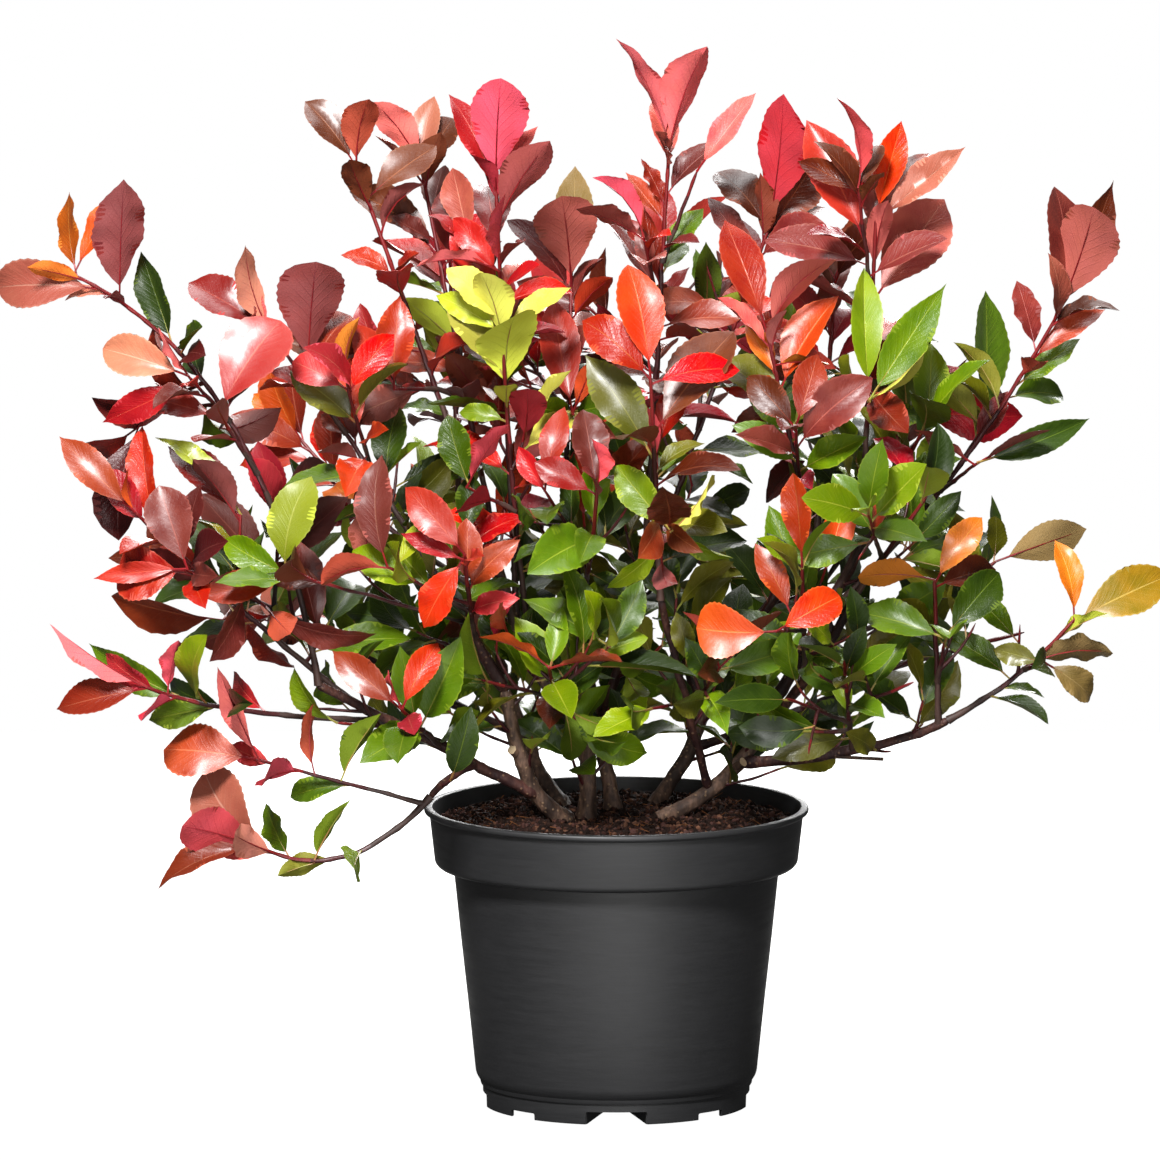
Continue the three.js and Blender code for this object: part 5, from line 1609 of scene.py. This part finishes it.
# The pot: radii and heights. A step is how far a corner lies out from and above the place it belongs to.
potShape = {
    "segments": 144, "hub": 30, "floorUnder": 9, "floorTop": 12, "floorEdge": 2,
    "ringInside": 86.4, "ring": 89, "ringDraft": 0.4, "ringHeight": 14, "ringStep": 1.3, "stepRound": 0.5,
    "heel": 94.3, "heelHeight": 23, "heelRound": 12, "heelRise": 2, "heelArc": (-42, -6),
    "waist": 109, "wallAt": ((0.33, 70), (0.67, 115)), "wall": 2.2, "edge": 0.8,
    "collarHeight": 161, "collarFoot": 121.5, "collarRound": 5, "collarArc": (270, 354), "collarTop": 125,
    "underCollar": ((-0.2, -1.4), (0.6, -0.3), (2, 0)), "collarInside": ((0, 4), (-2, 2.2)),
    "height": 201, "rim": 128.5, "lip": 4, "underLip": ((-0.1, -1.2), (0.9, 0)), "lipRounds": (1.6, 1.8, 1.2),
}
# Where the first notch of each kind lies, its width and its height.
notchShape = {
    "wide": (0, 41, 8.7), "narrow": (45, 22, 4.6), "depth": 16, "corner": 1.2, "cornerSegments": 3,
}
finShape = {
    "inner": 33, "outer": 87, "thickness": 1.5, "height": 9, "intoFloor": 0.6,
    "curve": 25, "curveShare": 0.98, "curveSegments": 8, "bearing": 13.6,
}


# Points on a quarter turn or less, as radius and height.
def arc(radius, height, size, fromAngle, toAngle, steps=4):
    angles = [math.radians(mix(fromAngle, toAngle, i / steps)) for i in range(steps + 1)]
    return [(radius + size * math.cos(a), height + size * math.sin(a)) for a in angles]


def stepped(radius, height, steps):
    return [(radius + out, height + up) for out, up in steps]


def potProfile():
    s = potShape
    edge, ring, ringHeight, step = s["edge"], s["ring"], s["ringHeight"], s["stepRound"]
    heel, bend, waist = s["heel"], s["heelRound"], s["waist"]
    collar, curve = s["collarHeight"], s["collarRound"]
    rim, top, lipFoot = s["rim"], s["height"], s["height"] - s["lip"]
    lower, upper, inside = s["lipRounds"]
    return [
        (s["hub"], 0), (s["hub"], s["floorUnder"]), (s["ringInside"], s["floorUnder"]),
        *arc(s["ringInside"] + edge, edge, edge, 180, 270), *arc(ring - edge, edge, edge, 270, 360),
        (ring + s["ringDraft"], ringHeight),
        *arc(ring + s["ringStep"], ringHeight + step, step, 270, 360, 2),
        *arc(heel - bend, s["heelHeight"] + s["heelRise"], bend, *s["heelArc"], 5),
        *[(mix(heel, waist, share), height) for share, height in s["wallAt"]],
        *stepped(waist, collar, s["underCollar"]),
        *arc(s["collarFoot"] - curve, collar + curve, curve, *s["collarArc"], 6),
        *stepped(s["collarTop"], lipFoot, s["underLip"]),
        *arc(rim - lower, lipFoot + lower, lower, 270, 360), *arc(rim - upper, top - upper, upper, 0, 90),
        *arc(s["collarTop"] - s["wall"] + inside, top - inside, inside, 90, 180),
        *stepped(s["collarFoot"] - s["wall"], collar, s["collarInside"]),
        (waist - s["wall"], collar + 1), (heel - s["wall"], s["heelHeight"]),
        (s["ringInside"] - s["floorEdge"], s["floorTop"]), (s["hub"], s["floorTop"]),
    ]


# A circle, extruded and resized from point to point of its profile, and closed at both ends.
def turnedPiece(name, profile, segments):
    (radius, height), rest = profile[0], profile[1:]
    bpy.ops.mesh.primitive_circle_add(vertices=segments, radius=radius * mm, location=(0, 0, height * mm))
    piece = bpy.context.object
    piece.name = name
    bpy.ops.object.transform_apply(location=True)
    bpy.ops.object.mode_set(mode="EDIT")
    for newRadius, newHeight in rest:
        bpy.ops.mesh.extrude_region_move(TRANSFORM_OT_translate={"value": (0, 0, (newHeight - height) * mm)})
        share = newRadius / radius
        bpy.ops.transform.resize(value=(share, share, 1), center_override=(0, 0, newHeight * mm))
        radius, height = newRadius, newHeight
    bpy.ops.mesh.select_all(action="SELECT")
    bpy.ops.mesh.fill_holes(sides=0)
    bpy.ops.mesh.select_all(action="SELECT")
    bpy.ops.mesh.normals_make_consistent(inside=False)
    bpy.ops.object.mode_set(mode="OBJECT")
    return piece


def cutNotches(pot):
    s = notchShape
    cutters = []
    for first, width, height in (s["wide"], s["narrow"]):
        for quarter in range(4):
            bpy.ops.mesh.primitive_cube_add(size=1)
            cutter = bpy.context.object
            cutter.scale = (width * mm, s["depth"] * mm, 2 * height * mm)
            bpy.ops.object.transform_apply(scale=True)
            bpy.ops.object.mode_set(mode="EDIT")
            bpy.ops.mesh.bevel(offset=s["corner"] * mm, segments=s["cornerSegments"])
            bpy.ops.object.mode_set(mode="OBJECT")
            cutter.location = (0, -potShape["ring"] * mm, 0)
            bpy.ops.object.transform_apply(location=True)
            cutter.rotation_euler = (0, 0, math.radians(first + 90 * quarter))
            bpy.ops.object.transform_apply(rotation=True)
            cutters.append(cutter)
    for cutter in cutters:
        selectOnly(pot)
        bpy.ops.object.modifier_add(type="BOOLEAN")
        pot.modifiers[-1].object = cutter
        pot.modifiers[-1].solver = "EXACT"
        bpy.ops.object.modifier_apply(modifier=pot.modifiers[-1].name)
        bpy.data.objects.remove(cutter)


# Each wide notch has a thin fin at either side, that runs in under the floor.
def makeFins():
    s = finShape
    squeeze = s["height"] / s["curve"]  # the curve is bevelled round, then drawn out along the fin
    long = (s["outer"] - s["inner"]) * squeeze
    tall = s["height"] + s["intoFloor"]
    bpy.ops.mesh.primitive_cube_add(size=1)
    fin = bpy.context.object
    fin.scale = (s["thickness"] * mm, long * mm, tall * mm)
    bpy.ops.object.transform_apply(scale=True)
    bpy.ops.object.mode_set(mode="EDIT")
    bpy.ops.mesh.select_all(action="DESELECT")
    shape = bmesh.from_edit_mesh(fin.data)
    for edge in shape.edges:
        edge.select = all(v.co.y > 0 and v.co.z < 0 for v in edge.verts)
    shape.select_flush_mode()
    bmesh.update_edit_mesh(fin.data)
    bpy.ops.mesh.bevel(offset=s["height"] * s["curveShare"] * mm, segments=s["curveSegments"])
    bpy.ops.object.mode_set(mode="OBJECT")
    fin.scale = (1, 1 / squeeze, 1)
    fin.location = (0, -(s["inner"] + s["outer"]) / 2 * mm, tall / 2 * mm)
    bpy.ops.object.transform_apply(location=True, scale=True)
    fins = []
    for bearing in [quarter * 90 + sign * s["bearing"] for quarter in range(4) for sign in (-1, 1)]:
        copy = fin.copy()
        copy.data = fin.data.copy()
        bpy.context.scene.collection.objects.link(copy)
        selectOnly(copy)
        copy.rotation_euler = (0, 0, math.radians(bearing))
        bpy.ops.object.transform_apply(rotation=True)
        fins.append(copy)
    bpy.data.objects.remove(fin)
    return fins


potFinish = {
    "plain": "#1b1b1c", "dark": "#19191a", "dust": ("#222223", 0.35), "wear": ("#2a2a2c", 0.25),
    "plainRoughness": 0.5, "specular": 0.5, "grain": (16.0, 900.0), "streaks": (14.0, 60.0, 16.0),
    "roughness": (0.08, 0.48), "streakHeight": 0.4, "bump": (0.25, 0.0002),
}


def potPlastic():
    s = potFinish
    material, tree, shader = newMaterial(
        "potPlastic", colour(s["plain"]), s["plainRoughness"], specular=s["specular"])
    patch, fine = s["grain"]
    grain = place(tree, grainGroup, Patch_size=patch, Grain_size=fine)
    patch, fine, stretch = s["streaks"]
    streaks = place(tree, grainGroup, Patch_size=patch, Grain_size=fine, Stretch=stretch)
    (dust, dustShare), (wear, wearShare) = s["dust"], s["wear"]
    dusty = tinted(tree, grain["Patch"], dustShare, colour(s["dark"]), dust)
    tree.links.new(tinted(tree, streaks["Grain"], wearShare, dusty, wear), shader.inputs["Base Color"])
    rough = calculate(tree, "MULTIPLY_ADD", streaks["Patch"], *s["roughness"])
    tree.links.new(rough, shader.inputs["Roughness"])
    height = calculate(tree, "MULTIPLY_ADD", streaks["Height"], s["streakHeight"], grain["Height"])
    bumpInto(tree, shader, height, *s["bump"])
    return material


def makePot():
    pot = turnedPiece("nurseryPot", potProfile(), potShape["segments"])
    cutNotches(pot)
    fins = makeFins()
    selectOnly(pot)
    for fin in fins:
        fin.select_set(True)
    bpy.ops.object.join()
    pot.data.materials.append(potPlastic())
    sharpen(pot, 28)
    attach(pot, "root")
    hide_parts("pot")
    stage("pot")


# The compost, with its crumbs and fibres.
compostShape = {
    "radius": 120.2, "low": 168, "edge": 189, "crown": 196.3, "crownRadius": 78, "segments": 96, "rings": 40,
    "lumps": 1.8, "lumpSize": 9, "lumpLane": 3, "fine": 0.7, "fineSize": 3, "fineLane": 8, "wallGap": 0.4,
    "flat": 0.9, "slack": 1,
}
crumbShape = {
    "seed": 5, "count": 8200, "margin": 2, "size": (0.45, 2.0), "sizePower": 2.2, "stretch": (0.6, 0.9),
    "corners": (0.75, 0.5), "above": 0.45, "finishes": 4, "darkPower": 2.4,
}
fibreShape = {
    "seed": 9, "count": 240, "margin": 10, "length": (3, 9), "rise": (-0.1, 0.7), "risePower": 2,
    "above": 0.6, "thickness": (0.16, 0.2), "bow": 1.5, "steps": 3, "sides": 3,
}


def compostHeight(x, y):
    s = compostShape
    radius = math.hypot(x, y)
    slope = min(1, max(0, (radius - s["crownRadius"]) / (s["radius"] - s["crownRadius"])))
    lump = noise.noise(Vector((x / s["lumpSize"], y / s["lumpSize"], s["lumpLane"])))
    fine = noise.noise(Vector((x / s["fineSize"], y / s["fineSize"], s["fineLane"])))
    return mix(s["crown"], s["edge"], slope) + s["lumps"] * lump + s["fine"] * fine


# The radius of the compost at a height, a hair inside the pot's wall.
def compostInside(height):
    s = potShape
    climb = (height - s["collarHeight"]) / (s["height"] - s["collarHeight"])
    return mix(s["collarFoot"], s["collarTop"], climb) - s["wall"] - compostShape["wallGap"]


def makeCompost():
    s = compostShape
    depth = s["edge"] - s["low"]
    bpy.ops.mesh.primitive_cylinder_add(
        vertices=s["segments"], radius=compostInside(s["low"]) * mm, depth=depth * mm,
        location=(0, 0, (s["low"] + depth / 2) * mm))
    compost = bpy.context.object
    compost.name = "peatCompost"
    bpy.ops.object.transform_apply(location=True)
    bpy.ops.object.mode_set(mode="EDIT")
    bpy.ops.mesh.select_all(action="DESELECT")
    shape = bmesh.from_edit_mesh(compost.data)
    for face in shape.faces:
        face.select = face.normal.z > s["flat"]
    bmesh.update_edit_mesh(compost.data)
    for _ in range(s["rings"]):
        bpy.ops.mesh.inset(thickness=s["radius"] / (s["rings"] + 1) * mm)
    bpy.ops.object.mode_set(mode="OBJECT")
    for vertex in compost.data.vertices:
        x, y, z = vertex.co / mm
        if z < s["low"] + s["slack"]:
            continue
        radius = math.hypot(x, y)
        if radius > compostInside(s["low"]) - s["slack"]:
            share = compostInside(s["edge"]) / radius
            vertex.co = Vector((x * share, y * share, s["edge"])) * mm
        else:
            vertex.co.z = compostHeight(x, y) * mm
    compost.data.materials.append(plainBark("peat", "#120a07", "#28160f", 0.95, 160.0, 0.0012, 0.15, 1.0))
    sharpen(compost, 60)
    for piece in (compost, makeCrumbs(), makeFibres()):
        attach(piece, "root")
        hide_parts("compost")
    stage("compost")


def scatter(random, margin):
    radius = (compostInside(compostShape["edge"]) - margin) * math.sqrt(random.random())
    angle = random.random() * 2 * math.pi
    return radius * math.cos(angle), radius * math.sin(angle)


def makeCrumbs():
    s = crumbShape
    random = np.random.default_rng(s["seed"])
    bpy.ops.mesh.primitive_ico_sphere_add(subdivisions=1, radius=1)
    model = bpy.context.object
    corners = np.array([v.co for v in model.data.vertices])
    faces = [tuple(p.vertices) for p in model.data.polygons]
    bpy.data.objects.remove(model)
    allPoints, allFaces, slots = [], [], []
    for _ in range(s["count"]):
        x, y = scatter(random, s["margin"])
        size = mix(*s["size"], random.random() ** s["sizePower"])
        stretch = size * (s["stretch"][0] + s["stretch"][1] * random.random(3))
        points = corners * (s["corners"][0] + s["corners"][1] * random.random((len(corners), 1))) * stretch
        turn = random.random() * math.pi
        turned = np.array([[math.cos(turn), -math.sin(turn)], [math.sin(turn), math.cos(turn)]])
        points[:, :2] = points[:, :2] @ turned
        middle = np.array([x, y, compostHeight(x, y) + size * s["above"]])
        base = len(allPoints) * len(corners)
        allPoints.append((points + middle) * mm)
        allFaces += [tuple(base + i for i in face) for face in faces]
        slots += [int(s["finishes"] * random.random() ** s["darkPower"])] * len(faces)
    finishes = [
        plainBark("darkCrumb", "#0f0806", "#20120c", 0.95, 200.0, 0.0004, 0.15, 1.0),
        plainBark("peatCrumb", "#241310", "#382016", 0.95, 200.0, 0.0004, 0.15, 1.0),
        plainBark("redCrumb", "#2e1610", "#40221a", 0.8, 200.0, 0.0004, 0.35, 1.0),
        plainBark("ochreCrumb", "#3c2418", "#583826", 0.85, 200.0, 0.0004, 0.3, 1.0),
    ]
    return joinedMesh("crumbs", np.concatenate(allPoints), allFaces, finishes, slots, smooth=False)


def makeFibres():
    s = fibreShape
    random = np.random.default_rng(s["seed"])
    gathered = Gathered()
    for _ in range(s["count"]):
        x, y = scatter(random, s["margin"])
        length = mix(*s["length"], random.random())
        turn = random.random() * 2 * math.pi
        rise = mix(*s["rise"], random.random() ** s["risePower"])
        start = Vector((x, y, compostHeight(x, y) + s["above"]))
        end = start + Vector((math.cos(turn), math.sin(turn), rise)) * length
        end.z = max(end.z, compostHeight(end.x, end.y) + s["above"])
        thick = s["thickness"][0] + s["thickness"][1] * random.random()
        path = Sweep(start, end, bow=(0, s["bow"]))
        points, faces = plainTube(path, lambda t: thick, s["steps"], s["sides"])
        gathered.add(points, faces, [0] * len(faces))
    straw = plainBark("fibre", "#4e2a14", "#7a4c28", 0.85, 200.0, 0.0003, 0.2, 1.0)
    return gathered.asMesh("fibres", [straw])


makeTwigs()
makeLimbs()
makePot()
makeCompost()
